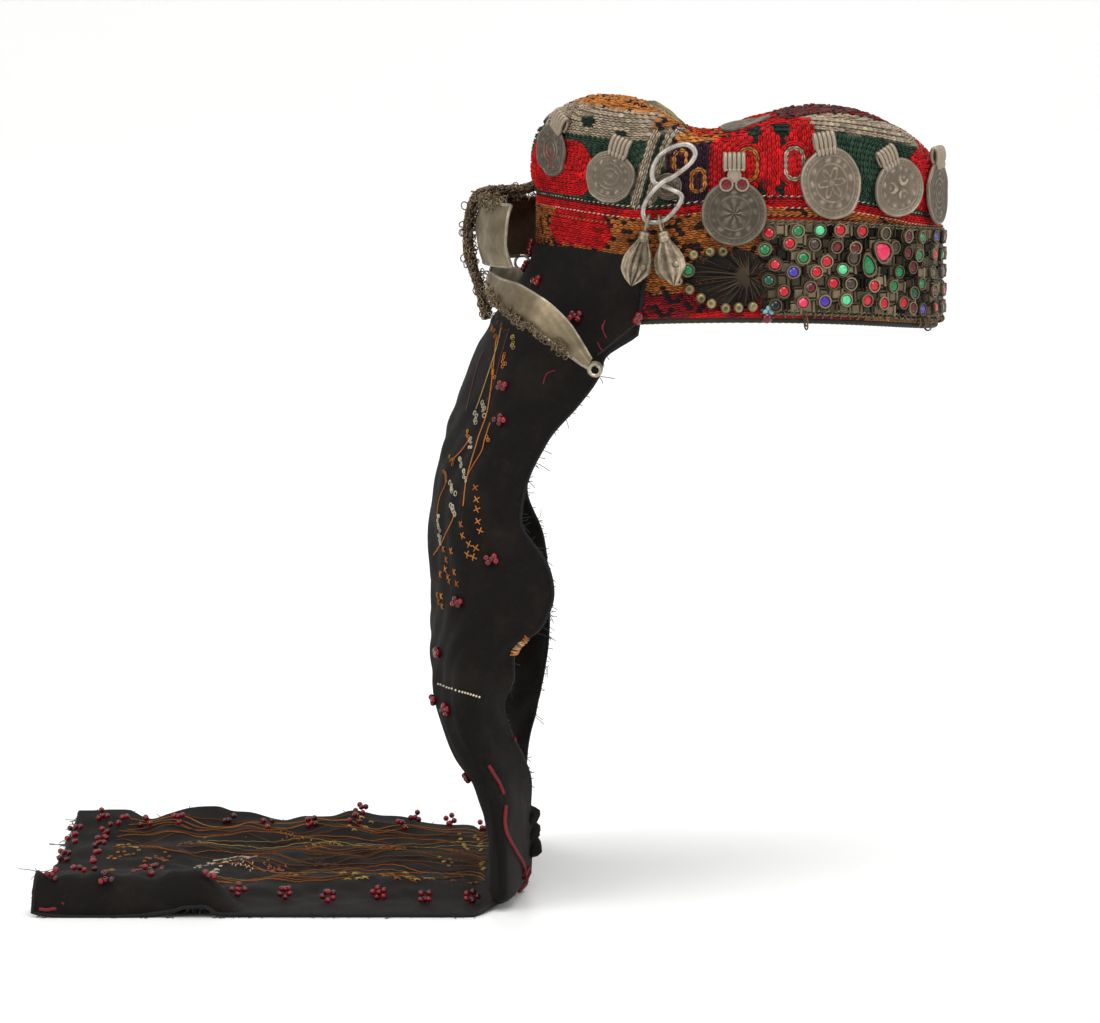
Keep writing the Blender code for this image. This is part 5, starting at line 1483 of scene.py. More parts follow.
def dress_fan():
    """Dark hairs that spread from a hub over a dark ground, held at their ends by brass beads."""
    bearings, reaches, _ = zip(*FAN_ROWS)
    fine = np.linspace(bearings[0], bearings[-1], 70)
    reach = smooth_between(bearings, reaches, fine)
    share = np.linspace(0.06, 0.94, 14)[:, None]
    crease = 0.0004 * np.sin(fine * 1.1) * share
    points = fan_place(fine + 0 * share, FAN_REACH * reach * share, GAP * 2 + 0.0006 + crease)
    ground = cloth_finish("fan ground", (0.012, 0.009, 0.007), (0.040, 0.028, 0.018), 0.0005)
    back = piece("fan_ground", [(points, [grid_faces(14, 70)])], ground)
    solidify(back, BACKING_WALL, -1)
    hair = thread_finish("dark hair", 0.12)
    start = draw.uniform(bearings[0], bearings[-1], FAN_HAIRS)
    tip = start + 5 * draw.standard_normal(FAN_HAIRS)
    length = smooth_between(bearings, reaches, tip.clip(bearings[0], bearings[-1])) * FAN_REACH
    length = length * draw.uniform(0.72, 1.06, FAN_HAIRS)
    steps = np.linspace(0.04, 1.0, 7)
    bearing = start[:, None] + (tip - start)[:, None] * steps**2
    lift = 0.0016 + 0.0016 * draw.random((FAN_HAIRS, 1)) * np.sin(steps * math.pi) + 0 * bearing
    paths = fan_place(bearing, length[:, None] * steps, lift)
    shade = draw.random((FAN_HAIRS, 1))
    dyes = shade**2 * np.array([(0.085, 0.055, 0.032)]) + (0.008, 0.006, 0.005)
    radii = np.linspace(0.30, 0.17, 7) * MM
    out = outward(float(turn_at(FAN_HUB)))
    knot_bearing = np.linspace(-90, 90, 26)[:, None] + 0 * steps
    knot_paths = fan_place(knot_bearing, 0.0065 * steps, 0.0016 + 0.0022 * np.cos(steps * 1.5))
    knots = tubes(knot_paths, 0.00042, out, 5, False, np.array([(0.045, 0.030, 0.018)]))
    piece("fan_hairs", [tubes(paths, radii, out, 4, False, dyes), knots], hair)
    beaded = [row for row in FAN_ROWS if row[2] == "brass"]
    stand = 2 * GAP + FAN_BEAD_RADIUS
    here = np.array([fan_place(bearing_, FAN_REACH * reach_, stand) for bearing_, reach_, _ in beaded])
    brass = bpy.data.materials["old brass"]
    side = np.cross((0.0, 0.0, 1.0), out)
    profile = np.array(BEAD_PROFILE) * FAN_BEAD_RADIUS
    count = len(here)
    tilt = unit(np.tile(out, (count, 1)) + 0.18 * draw.standard_normal((count, 3)))
    sides = unit(np.cross(np.cross(tilt, side), tilt))
    beads = piece("brass_beads", [lathes(here, tilt, sides, profile, 14)], brass)
    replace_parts(beads, "bead_fan")
    glass = bpy.data.materials["set stones"]
    green = fan_place(np.array([6.0]), np.array([FAN_REACH * 0.96]), 0.0022)
    domed = np.array([(0.95, 0.0), (0.86, 0.5), (0.45, 0.8)]) * FAN_STONE
    parts = [lathes(green, out[None], side[None], domed, 12, np.array([EMERALD]))]
    low = wall_point(np.array([-132.0]), np.array([-56.0]), 0.0022)
    parts.append(balls(low, FAN_STONE, np.array([RUBY]) * 0.22))
    far = wall_point(np.array([-192.0]), np.array([-52.5]), 0.0030)
    parts.append(balls(np.concatenate([far, far + (0.0012, 0, 0.0022)]), 0.0023, np.array([RUBY]) * 0.30))
    aside, above = np.array([0.0, 1.4, -1.2, 0.3]), np.array([0.0, 2.2, 2.3, 4.1])
    blue = wall_point(-131.5 + aside, -55.6 + above, 0.0024)
    parts.append(balls(blue, 0.0014, np.array([PALE_BLUE]), 8, 5))
    piece("fan_stones", parts, glass)
    metal = bpy.data.materials["band metal"]
    cup = np.array([(1.25, 0.0), (1.25, 0.55), (1.12, 0.68), (0.98, 0.60), (0.96, 0.3)]) * FAN_STONE
    cup_part = lathes(green, out[None], side[None], cup, 16, BAND_BRIGHT[None] * 0.7)
    piece("fan_cup", [cup_part], metal, 40)


# The nape's silver
PLATE_ROWS = (
    # turn, how far it stands off as a share of its stand, height as a share of the whole
    (204, 0.80, 0.98), (194, 0.92, 1.00), (184, 1.00, 1.00), (174, 1.00, 1.00),
    (163, 0.88, 1.00), (151, 0.62, 0.97), (141, 0.28, 0.90), (133, 0.04, 0.80),
)
WING_ROWS = (
    # back and across as shares of the rim's halves, middle height as a share of the tail's drop, width
    (-1.245, 0.42, 0.078, 0.40), (-1.190, 0.66, 0.062, 0.72), (-1.090, 0.90, 0.046, 1.00),
    (-0.980, 1.04, 0.025, 1.00), (-0.870, 1.08, -0.005, 0.86), (-0.790, 1.08, -0.035, 0.55),
    (-0.745, 1.08, -0.052, 0.30),
)
WING_DISH = 0.0016
WING_SLANT = 0.28
CHAIN_ROUTE = (
    # back from the rim and across as shares of the plate's stand and height, height of the crown's
    (0.041, 0.615, 0.34), (0.246, 0.597, 0.27), (0.616, 0.590, 0.20), (0.965, 0.588, 0.14),
    (1.232, 0.570, 0.03), (1.376, 0.500, -0.03), (1.437, 0.400, -0.07), (1.417, 0.300, -0.10),
    (1.273, 0.200, -0.14), (1.150, 0.110, -0.17), (1.055, 0.020, -0.17),
)
PLATE_COLUMNS = 90
WING_COLUMNS = 60
CHAIN_STRANDS = 5
CHAIN_LINKS = 150
LOOSE_LINKS = 260
STRAY_LINKS = 26


def spread_rows(rows, count):
    """A table's columns as smooth curves at evenly spread places between its first and last row."""
    at = np.linspace(0, len(rows) - 1, count)
    return [smooth_between(range(len(rows)), column, at) for column in zip(*rows)]


def dress_nape():
    """The plate bulges by a sine over its height and stands off by its table; each wing follows its
    table round the cap and dishes by a parabola across; wires run along both and coil at the tips."""
    silver = silver_finish(
        "nape silver", (0.270, 0.215, 0.135), (0.115, 0.088, 0.052), 0.40, 0.007, 0.85, 0.0002
    )
    turn, share, tall = spread_rows(PLATE_ROWS, PLATE_COLUMNS)
    up = np.linspace(0, 1, 22)[:, None]
    bulge = PLATE_BULGE * (np.sin(math.pi * (0.15 + 0.7 * up)) - math.sin(math.pi * 0.15))
    dents = 0.0006 * np.sin(turn * 0.31 + up * 4) * np.sin(up * 7 + turn * 0.12)
    stand = PLATE_SEAT + (PLATE_STAND + bulge) * share + dents * share
    x, y = ring(np.radians(turn) + 0 * up, stand)
    points = np.stack([x, y, PLATE_BASE + PLATE_HEIGHT * tall * up + 0 * x], axis=-1)
    plate = piece("nape_plate_silver", [(points, [grid_faces(22, PLATE_COLUMNS)])], silver)
    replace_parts(solidify(plate, SILVER_WALL, 0), "nape_plate")
    rims = [tubes(points[row][None], 0.0009, (1, 0, 0), 8) for row in (0, -1)]
    rims.append(tubes(points[:, 0][None], 0.0009, (1, 0, 0), 8))
    parts = {1: list(rims), -1: []}
    for side, name in ((-1, "right"), (1, "left")):
        back, across, height, width = spread_rows(WING_ROWS, WING_COLUMNS)
        edge = np.linspace(-0.5, 0.5, 16)[:, None]
        rise = edge * WING_WIDTH * width
        dish = WING_DISH * (1 - (2 * edge) ** 2) * width + 0.0003 * np.sin(edge * 9 + back * 20)
        x = back * HALF_LENGTH + WING_SLANT * rise
        grid = np.stack([x, side * (across * HALF_WIDTH + dish), height * TAIL_DROP + rise], axis=-1)
        low, high = (np.array(corner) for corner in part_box("nape_wing_" + name))
        if side > 0:
            grid[..., 1] += high[1] - grid[..., 1].max() - SILVER_WALL / 2
        else:
            grid[..., 1] += low[1] - grid[..., 1].min() + SILVER_WALL / 2
        quads = grid_faces(16, WING_COLUMNS)
        part = (grid, [quads if side < 0 else quads[:, ::-1]])
        wing = piece(f"nape_wing_{name}_silver", [part], silver)
        solidify(wing, SILVER_WALL, 0)
        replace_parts(wing, "nape_wing_" + name)
        for row, wire in ((0, 0.0011), (-1, 0.0007)):
            parts[side].append(tubes(grid[row][None], wire, (0, 1, 0), 8))
        tip = grid[8, -1]
        coil = np.linspace(0, 1, 70)
        angle = coil * 2 * math.pi * 3.2
        spiral = np.stack([0.0022 + 0.0031 * np.cos(angle) * (1 - 0.2 * coil), side * (coil - 0.5) * 0.0075,
                           -0.0030 + 0.0031 * np.sin(angle) * (1 - 0.2 * coil)], axis=-1)
        parts[side].append(tubes((tip + spiral)[None], 0.00085, (0, 1, 0), 7))
    hinge = points[2, 60:64].mean(axis=0)
    parts[-1].append(rings(hinge[None] + (0, -0.002, -0.006), (0, 1, 0), 0.0035, 0.0008, 18, 6))
    bright = silver_finish("nape trim", (0.44, 0.38, 0.29), (0.080, 0.065, 0.045), 0.40, 0.003)
    piece("nape_trim", parts[1] + parts[-1], bright, 50)
    dress_chain(points)
    dress_ties()


def dress_chain(plate):
    """A woven bundle of fine links: small wire rings about the route's line, each turned its own
    way, and looser ones along the plate's upper edge and the wing's outer one."""
    back, height, across = spread_rows(CHAIN_ROUTE, CHAIN_LINKS)
    x = -HALF_LENGTH - back * PLATE_STAND
    line = np.stack([x, across * PLATE_HEIGHT, height * CROWN_HEIGHT], axis=-1)
    metal = silver_finish("chain metal", (0.25, 0.185, 0.115), (0.050, 0.036, 0.022), 0.38, 0.002, 0.85)
    parts = []
    along = unit(np.gradient(line, axis=0))
    side = np.cross(along, (0, 1, 0))
    every_other = (np.arange(CHAIN_LINKS) % 2)[:, None] == 0
    for strand in range(CHAIN_STRANDS):
        angle = np.linspace(0, 9 * math.pi, CHAIN_LINKS) + strand * 2 * math.pi / CHAIN_STRANDS
        winding = np.cos(angle)[:, None] * side + np.sin(angle)[:, None] * np.array([0, 1.9, 0])
        place = line + 0.0014 * winding
        turned = np.where(every_other, side, (0, 1, 0)) + 0.35 * draw.standard_normal((CHAIN_LINKS, 3))
        parts.append(rings(place, turned, 0.00125, 0.00034, 7, 3))
    made = piece("nape_chain_links", parts, metal)
    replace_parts(made, "nape_chain")
    loose = []
    top = plate[-1, 6:86]
    low_wing = []
    for side in (-1, 1):
        back, across, height, width = spread_rows(WING_ROWS, WING_COLUMNS)
        wing_low = np.stack([back * HALF_LENGTH - 0.5 * WING_SLANT * WING_WIDTH * width,
                             side * (across * HALF_WIDTH + 0.001),
                             height * TAIL_DROP - 0.5 * WING_WIDTH * width], axis=-1)
        low_wing.append(wing_low[:44])
    edge_rows = (
        (top, 330, 0.0017),
        (low_wing[0], 150, 0.0010),
        (low_wing[1], 150, 0.0010),
        (plate[:, 45], 60, 0.0015),
    )
    for edge, count, spread in edge_rows:
        at = draw.uniform(0, len(edge) - 1.001, count)
        share = (at % 1)[:, None]
        base = edge[at.astype(int)] * (1 - share) + edge[at.astype(int) + 1] * share
        place = base + spread * draw.standard_normal((count, 3))
        loose.append(rings(place, draw.standard_normal((count, 3)), 0.0012, 0.00032, 7, 3))
    at = draw.uniform(22, CHAIN_LINKS - 1, LOOSE_LINKS)
    base = line[at.astype(int)] + draw.uniform(0, 1, (LOOSE_LINKS, 1)) * (0.0030, 0.0, -0.0006)
    base = base + draw.standard_normal((LOOSE_LINKS, 3)) * (0.0007, 0.0035, 0.0009)
    loose.append(rings(base, draw.standard_normal((LOOSE_LINKS, 3)), 0.0014, 0.00033, 7, 3))
    stray = line[draw.integers(30, CHAIN_LINKS - 1, STRAY_LINKS)]
    stray = stray + draw.standard_normal((STRAY_LINKS, 3)) * (0.0010, 0.003, 0.001) - (0.0012, 0, 0)
    leaning = draw.standard_normal((STRAY_LINKS, 3)) + (0, 1.2, 0)
    loose.append(rings(stray, leaning, 0.0020, 0.00034, 10, 3))
    piece("nape_edge_links", loose, metal)


def dress_ties():
    """Threads from the rim to the wings' eyes, each two twisted strands."""
    thread = thread_finish("black thread", 0.2)
    for side, name in ((-1, "right"), (1, "left")):
        low, high = (np.array(corner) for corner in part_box("tie_" + name))
        outer = low[1] if side < 0 else high[1]
        inner = high[1] if side < 0 else low[1]
        share = np.linspace(0, 1, 40)
        x = high[0] + (low[0] - high[0]) * share
        y = inner + (outer - inner) * np.sin(share * math.pi / 2)
        z = high[2] + (low[2] - high[2]) * share
        parts = []
        for phase in (0, math.pi):
            angle = share * 60 + phase
            path = np.stack([x, y + 0.0003 * np.cos(angle), z + 0.0003 * np.sin(angle)], axis=-1)
            parts.append(tubes(path[None], 0.00034, (0, 1, 0), 5, False, np.array([BLACK])))
        tie = piece(f"tie_{name}_thread", parts, thread)
        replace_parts(tie, "tie_" + name)


# The dark cloth that hangs from the nape and lies on the table
HANG_ROWS = (
    # drop as a share of the whole, then shares of half the length: back, near edge, far edge;
    # shares of half the width: near side, far side, inward curl of the near edge
    (0.000, -1.230, -0.520, -0.520, 0.93, 0.93, 0.00),
    (0.020, -1.255, -0.630, -0.600, 0.93, 0.93, 0.00),
    (0.080, -1.325, -0.715, -0.760, 0.92, 0.94, 0.00),
    (0.120, -1.365, -0.800, -0.830, 0.90, 0.95, 0.02),
    (0.190, -1.430, -0.970, -0.960, 0.88, 0.97, 0.05),
    (0.320, -1.510, -1.085, -1.065, 0.86, 1.02, 0.10),
    (0.400, -1.525, -0.950, -0.985, 0.86, 1.08, 0.10),
    (0.445, -1.522, -0.925, -0.965, 0.85, 1.11, 0.12),
    (0.500, -1.515, -0.985, -0.960, 0.84, 1.15, 0.15),
    (0.545, -1.512, -1.110, -0.950, 0.82, 1.20, 0.20),
    (0.600, -1.505, -1.130, -0.955, 0.80, 1.26, 0.25),
    (0.650, -1.490, -1.175, -0.975, 0.78, 1.33, 0.32),
    (0.700, -1.450, -1.150, -1.000, 0.76, 1.42, 0.40),
    (0.740, -1.405, -1.100, -1.020, 0.74, 1.52, 0.50),
    (0.780, -1.330, -1.062, -1.050, 0.72, 1.62, 0.60),
    (0.860, -1.250, -1.050, -1.075, 0.68, 1.90, 0.85),
    (0.945, -1.225, -1.050, -1.095, 0.66, 2.16, 1.05),
)
GUTTER_SQUARENESS = 2.4
FAR_EDGE_ROWS = (
    # share of the lying length, how far the far edge is lifted off the table in millimetres
    (0.0, 9.5), (0.06, 7.7), (0.10, 4.2), (0.17, 4.0), (0.22, 6.2), (0.265, 6.7), (0.337, 9.3),
    (0.39, 6.2), (0.45, 6.6), (0.50, 4.6), (0.58, 9.2), (0.63, 9.9), (0.666, 12.0), (0.73, 10.9),
    (0.78, 7.5), (0.82, 5.0), (0.85, 6.7), (0.88, 10.0), (1.0, 9.5),
)
BORDER_ROWS = (
    # share of the lying length, height of the turned-up near border and lift of its edge, in millimetres
    (0.0, 0.0, 0.2), (0.50, 0.0, 0.2), (0.545, 1.0, 0.4), (0.576, 6.5, 0.8), (0.600, 12.0, 1.8),
    (0.617, 14.5, 4.8), (0.642, 17.0, 5.2), (0.668, 17.6, 5.0), (0.690, 17.6, 3.0), (0.73, 16.5, 1.5),
    (0.80, 15.4, 0.2), (0.88, 15.4, 0.0), (0.95, 16.6, 0.5), (1.0, 17.8, 2.0),
)
TAIL_COLUMNS = 98
SEWN_STEPS = 18
HANG_STEPS = 136
BEND_STEPS = 10
LYING_STEPS = 84
CLUSTER_ROWS = (
    # each bunch of red beads by its place in the photograph, and how many beads
    (237, 899, 5), (285, 902, 6), (329, 906, 6), (380, 902, 6), (425, 906, 5), (472, 906, 6),
    (103, 823, 4), (123, 828, 3), (144, 830, 4), (180, 826, 4), (228, 827, 3), (267, 832, 4), (310, 830, 5),
    (360, 817, 5), (355, 827, 4), (401, 833, 3), (413, 825, 4), (450, 828, 5), (481, 827, 3),
    (77, 836, 3), (72, 847, 4), (65, 864, 5), (51, 882, 4), (108, 837, 3), (104, 842, 3), (98, 851, 4),
    (97, 864, 3), (94, 874, 3), (79, 878, 3), (105, 883, 4), (151, 878, 4), (205, 880, 3),
    (506, 387, 5), (503, 421, 5), (491, 559, 5), (461, 602, 5), (442, 652, 6), (438, 699, 4), (450, 709, 5),
    (466, 773, 4), (530, 238, 4), (530, 262, 5), (541, 283, 4), (577, 317, 5), (528, 249, 3),
)
COUCHED_ROWS = (
    # middle height in the photograph, threads, from, to, how far they spread, dye
    (835.0, 4, 112, 480, 2.2, ORANGE), (841.0, 4, 104, 492, 2.6, DULL_ORANGE),
    (848.0, 3, 190, 488, 2.6, YELLOW), (855.0, 3, 104, 330, 2.2, DULL_ORANGE),
    (856.0, 5, 300, 490, 3.2, ORANGE), (863.0, 3, 250, 492, 2.4, ORANGE),
    (870.0, 3, 215, 492, 2.2, DULL_ORANGE), (879.0, 2, 210, 488, 1.4, YELLOW),
    (883.0, 3, 212, 420, 1.2, DULL_ORANGE),
)
MOTIF_ROWS = (
    # form, from and to in the photograph, how many, size in millimetres, dye
    ("loop", 108, 849, 134, 856, 14, 1.6, YELLOW), ("loop", 104, 862, 128, 860, 12, 1.5, ORANGE),
    ("loop", 106, 870, 116, 871, 8, 1.7, ORANGE), ("loop", 172, 851, 198, 848, 14, 1.4, PINK),
    ("loop", 132, 871, 164, 866, 22, 1.5, PINK), ("loop", 138, 864, 168, 862, 18, 1.3, DULL_ORANGE),
    ("loop", 197, 872, 212, 864, 14, 1.5, CREAM), ("loop", 211, 866, 230, 856, 16, 1.5, CREAM),
    ("loop", 228, 856, 254, 864, 18, 1.4, CREAM), ("loop", 213, 880, 224, 872, 12, 1.5, CREAM),
    ("bar", 224, 868, 254, 872, 22, 2.6, CREAM), ("bar", 264, 868, 287, 871, 18, 2.4, DULL_ORANGE),
    ("loop", 264, 872, 288, 870, 18, 1.3, PINK), ("loop", 292, 876, 313, 879, 18, 1.4, DULL_ORANGE),
    ("bar", 300, 846, 345, 850, 24, 2.4, ORANGE), ("bar", 270, 840, 300, 844, 20, 2.2, DULL_ORANGE),
    ("cross", 344, 880, 372, 885, 6, 5.0, YELLOW), ("cross", 380, 880, 408, 884, 6, 4.6, DULL_ORANGE),
    ("cross", 404, 878, 436, 886, 8, 4.6, YELLOW), ("cross", 444, 880, 480, 882, 6, 3.6, DULL_ORANGE),
    ("loop", 455, 838, 466, 850, 12, 1.8, YELLOW), ("loop", 470, 836, 480, 850, 12, 1.8, YELLOW),
    ("loop", 438, 862, 452, 866, 10, 1.8, YELLOW), ("loop", 480, 861, 490, 868, 8, 1.8, YELLOW),
    ("cross", 340, 838, 366, 834, 6, 3.6, YELLOW), ("loop", 310, 866, 350, 868, 20, 1.3, BROWN),
    ("loop", 372, 852, 404, 856, 20, 1.4, DULL_ORANGE), ("bar", 236, 848, 262, 850, 16, 2.2, BROWN),
    ("loop", 494, 326, 500, 344, 10, 1.9, DULL_ORANGE), ("loop", 500, 318, 508, 336, 10, 1.7, BROWN),
    ("loop", 515, 338, 515, 352, 8, 1.7, YELLOW), ("loop", 508, 355, 506, 368, 8, 1.8, ORANGE),
    ("loop", 496, 366, 497, 378, 8, 1.6, ORANGE), ("loop", 486, 403, 488, 416, 8, 2.0, CREAM),
    ("loop", 477, 411, 479, 424, 8, 2.0, CREAM), ("loop", 474, 437, 473, 450, 8, 1.7, CREAM),
    ("loop", 464, 458, 465, 471, 9, 1.9, CREAM), ("loop", 468, 470, 467, 484, 8, 1.5, CREAM),
    ("loop", 453, 483, 458, 496, 9, 2.1, CREAM), ("loop", 454, 503, 460, 516, 9, 2.1, CREAM),
    ("loop", 471, 432, 472, 441, 6, 1.8, ORANGE), ("loop", 453, 458, 458, 464, 6, 1.7, ORANGE),
    ("loop", 447, 472, 450, 482, 7, 1.8, ORANGE), ("loop", 489, 436, 491, 443, 5, 1.5, ORANGE),
    ("loop", 441, 512, 444, 546, 16, 1.6, CREAM), ("cross", 477, 484, 479, 514, 4, 3.6, DULL_ORANGE),
    ("cross", 478, 520, 482, 530, 2, 3.4, DULL_ORANGE), ("cross", 463, 522, 466, 538, 3, 3.8, DULL_ORANGE),
    ("cross", 468, 545, 480, 546, 3, 4.0, ORANGE), ("cross", 468, 555, 479, 553, 3, 4.0, ORANGE),
    ("cross", 443, 552, 458, 548, 3, 3.8, DULL_ORANGE), ("cross", 448, 556, 450, 572, 3, 3.8, ORANGE),
    ("cross", 440, 577, 461, 573, 4, 4.0, ORANGE), ("cross", 450, 583, 463, 581, 3, 3.8, DULL_ORANGE),
    ("cross", 440, 596, 446, 594, 2, 3.8, ORANGE), ("cross", 440, 604, 447, 604, 2, 3.8, ORANGE),
    ("bar", 515, 654, 526, 634, 26, 4.2, ORANGE), ("bar", 517, 650, 524, 638, 8, 4.4, CREAM),
)
FRAYED_ENDS = 520
# A dark red thread colour, darker partly as painted shade.
SHADED_DARK_THREAD_RED = (0.165, 0.018, 0.024)
HANG_THREADS = (
    # dye, radius in millimetres, then the thread's run in the photograph
    (ORANGE, 0.30, (499, 340, 496, 372, 491, 408, 481, 440, 474, 462, 469, 484, 466, 506)),
    (DULL_ORANGE, 0.28, (493, 424, 487, 440, 484, 452, 476, 466, 471, 476)),
    (DULL_ORANGE, 0.28, (472, 440, 465, 450, 455, 461)),
    (ORANGE, 0.28, (459, 512, 451, 530, 444, 544, 437, 555)),
    (YELLOW, 0.22, (505, 325, 499, 350, 488, 384, 479, 410)),
    (BROWN, 0.24, (512, 330, 505, 352, 497, 384, 490, 402)),
    (BROWN, 0.24, (486, 352, 479, 372, 474, 392, 469, 412)),
    (DULL_ORANGE, 0.24, (449, 484, 443, 498, 440, 516)),
    (SHADED_DARK_THREAD_RED, 0.34, (556, 370, 548, 374, 544, 384)),
    (SHADED_DARK_THREAD_RED, 0.30, (606, 320, 604, 330, 607, 340)),
    (SHADED_DARK_THREAD_RED, 0.30, (598, 344, 601, 350, 604, 352)),
    (SHADED_DARK_THREAD_RED, 0.85, (486.5, 765, 491, 775, 496, 784, 500, 794)),
    (SHADED_DARK_THREAD_RED, 0.95, (502, 805, 501, 820, 504, 836, 511, 850, 519, 864, 527, 887)),
    (SHADED_DARK_THREAD_RED, 0.65, (518, 737, 523, 733, 526, 735)),
    (SHADED_DARK_THREAD_RED, 0.80, (39, 910, 47, 911, 56, 909, 64, 904)),
)


def photo_places(points):
    """Where the camera sees points, in the photograph's pixels, and how far they are from it."""
    forward = np.array([0.0, math.cos(CAMERA_DIP), -math.sin(CAMERA_DIP)])
    upward = np.array([0.0, math.sin(CAMERA_DIP), math.cos(CAMERA_DIP)])
    middle = np.array([PHOTO_WIDTH / 2 - RIM_PIXEL[0], 0.0, RIM_PIXEL[1] - PHOTO_HEIGHT / 2]) * PIXEL
    away = points - middle + forward * CAMERA_DISTANCE
    depth = away @ forward
    scale = CAMERA_DISTANCE / PIXEL / depth
    right = PHOTO_WIDTH / 2 + scale * away[..., 0]
    down = PHOTO_HEIGHT / 2 - scale * (away @ upward)
    return np.stack([right, down], axis=-1), depth


def hanging_points(drop, across):
    """A gutter open to the front: its back and edges come from the table, its section is an oval,
    and its near edge curls in by the square of the share past the middle."""
    stations = [row[0] for row in HANG_ROWS]
    columns = [smooth_between(stations, column, drop) for column in list(zip(*HANG_ROWS))[1:]]
    back, near_x, far_x, near_y, far_y, curl = columns
    angle = across * math.pi / 2
    near = across < 0
    edge_x = np.where(near, near_x, far_x) * HALF_LENGTH
    half_y = np.where(near, near_y, far_y) * HALF_WIDTH
    x = edge_x - (edge_x - back * HALF_LENGTH) * signed_power(np.cos(angle), 2 / GUTTER_SQUARENESS)
    y = half_y * signed_power(np.sin(angle), 2 / GUTTER_SQUARENESS)
    y = y + curl * HALF_WIDTH * np.clip(-across - 0.45, 0, 1) ** 2 * 3.3
    return np.stack([x, y, -TAIL_DROP * drop + 0 * x], axis=-1)


def lying_height(share, side):
    """Height of the lying cloth: waves, a far edge lifted by its table, a near border turned up."""
    stations, lifts = (np.array(column) for column in zip(*FAR_EDGE_ROWS))
    lift = smooth_between(stations, lifts, share) * MM
    stations, ridges, edges = (np.array(column) for column in zip(*BORDER_ROWS))
    ridge = smooth_between(stations, ridges, share) * MM
    edge = smooth_between(stations, edges, share) * MM
    edge = edge * (1 + 0.09 * np.sin(share * 37) + 0.05 * np.sin(share * 71 + 1))
    ridge = ridge * (1 + 0.10 * np.sin(share * 29 + 2) + 0.05 * np.sin(share * 83))
    far = np.clip((side - 0.74) / 0.26, 0, 1)
    height = lift * far**1.6
    height = height + ridge * np.sin(np.clip(side / 0.105, 0, 1) * math.pi) ** 0.8 * (side < 0.105)
    height = height + edge * np.clip(1 - side / 0.05, 0, 1)
    puckers = 0.5 + 0.5 * np.sin(side * 62 + 2.4 * np.sin(share * 13) + 1.3 * np.sin(share * 31))
    broad = 0.5 + 0.5 * np.sin(side * 19 + share * 8 + 1.5 * np.sin(share * 9 + 1))
    inner = np.clip(side / 0.2, 0, 1) * np.clip((1.05 - side) / 0.2, 0, 1)
    small = np.sin(share * 47 + 3 * np.sin(side * 17)) * np.sin(side * 33 + 2 * np.sin(share * 23))
    return height + inner * (0.0009 * puckers + 0.0036 * broad + 0.0006 * small)


def tail_points():
    """The cloth's grid from its sewn edge: round the band, down the gutter, round the heel and along
    the table, with low folds along the cloth's normals on the hanging stretch."""
    across = np.linspace(-1, 1, TAIL_COLUMNS)[None]
    up = np.linspace(1, 0, SEWN_STEPS)[:, None]
    turn = math.pi - across * math.radians(180.0 - TAIL_TURN) * (1 + 0.045 * up)
    low = rim_height(turn)
    stand = smooth_between((0.0, 0.25, 0.6, 1.0), (0.0, 0.10, 0.45, 1.0), 1 - up)
    x, y = ring(turn, GAP + NAPE_STAND * stand * (1 - across**2) ** 1.5)
    top = TAIL_SEWN_HEIGHT - 0.0035 * np.clip((np.abs(across) - 0.6) / 0.4, 0, 1)
    sewn = np.stack([x, y, low + (top - low) * up], axis=-1)
    drop = np.linspace(0, 0.945, HANG_STEPS + 1)[1:, None]
    hanging = hanging_points(drop, across)
    keep = np.clip(1 - drop / 0.045, 0, 1)[..., None] ** 1.5
    carried = np.concatenate([0 * hanging[..., :2] + sewn[-1, :, :2], hanging[..., 2:]], axis=-1)
    hanging = hanging * (1 - keep) + carried * keep
    side = (across + 1) / 2
    y = -TAIL_NEAR_EDGE + side * (TAIL_NEAR_EDGE + TAIL_FAR_EDGE)
    angle = np.radians(np.linspace(8, 84, BEND_STEPS))[:, None]
    settle = np.sin(angle) ** 2
    x = -HEEL_BACK - HEEL_RADIUS * (1 - np.cos(angle)) + 0 * y
    z = -TAIL_DROP + HEEL_RADIUS * 1.1 * (1 - np.sin(angle)) + 0 * y
    x = x * settle + hanging[-1, :, 0] * (1 - settle)
    bend = np.stack([x, y * settle + hanging[-1, :, 1] * (1 - settle), z], axis=-1)
    x = -np.linspace(HEEL_BACK + HEEL_RADIUS + 0.003, TAIL_REACH, LYING_STEPS)[:, None]
    share = (-x - HEEL_BACK) / (TAIL_REACH - HEEL_BACK)
    end = 0.0012 * np.sin(side * 21) * np.clip((share - 0.9) / 0.1, 0, 1)
    height = lying_height(share, side) * np.clip(share * 5, 0, 1)
    lying = np.stack([x + end + 0 * y, y + 0 * x, height - TAIL_DROP + 0.0002], axis=-1)
    points = np.concatenate([sewn, hanging, bend, lying])
    out = unit(np.cross(np.gradient(points, axis=1), np.gradient(points, axis=0)))
    row = np.arange(len(points))[:, None]
    down = np.clip((row - SEWN_STEPS) / 25, 0, 1) * np.clip((SEWN_STEPS + HANG_STEPS - row) / 14, 0, 1)
    share = (row - SEWN_STEPS) / HANG_STEPS
    calm = 1 - 0.65 * np.clip((share - 0.7) / 0.2, 0, 1)
    folds = 0.0012 * np.sin(across * 9 + 4.0 * share + 1.6 * np.sin(share * 9))
    folds = calm * (folds + 0.0004 * np.sin(across * 31 - share * 25 + 3 * np.sin(share * 17)))
    drag = 0.0006 * np.sin(share * 46 + across * 11 + 2 * np.sin(across * 6))
    drag = drag * np.sin(share * 13 + across * 4)
    return points + out * (down * (folds + drag))[..., None]


def cloth_sides(grid):
    """The cloth's outward normals: the cross product of its two slopes."""
    return unit(np.cross(np.gradient(grid, axis=1), np.gradient(grid, axis=0)))


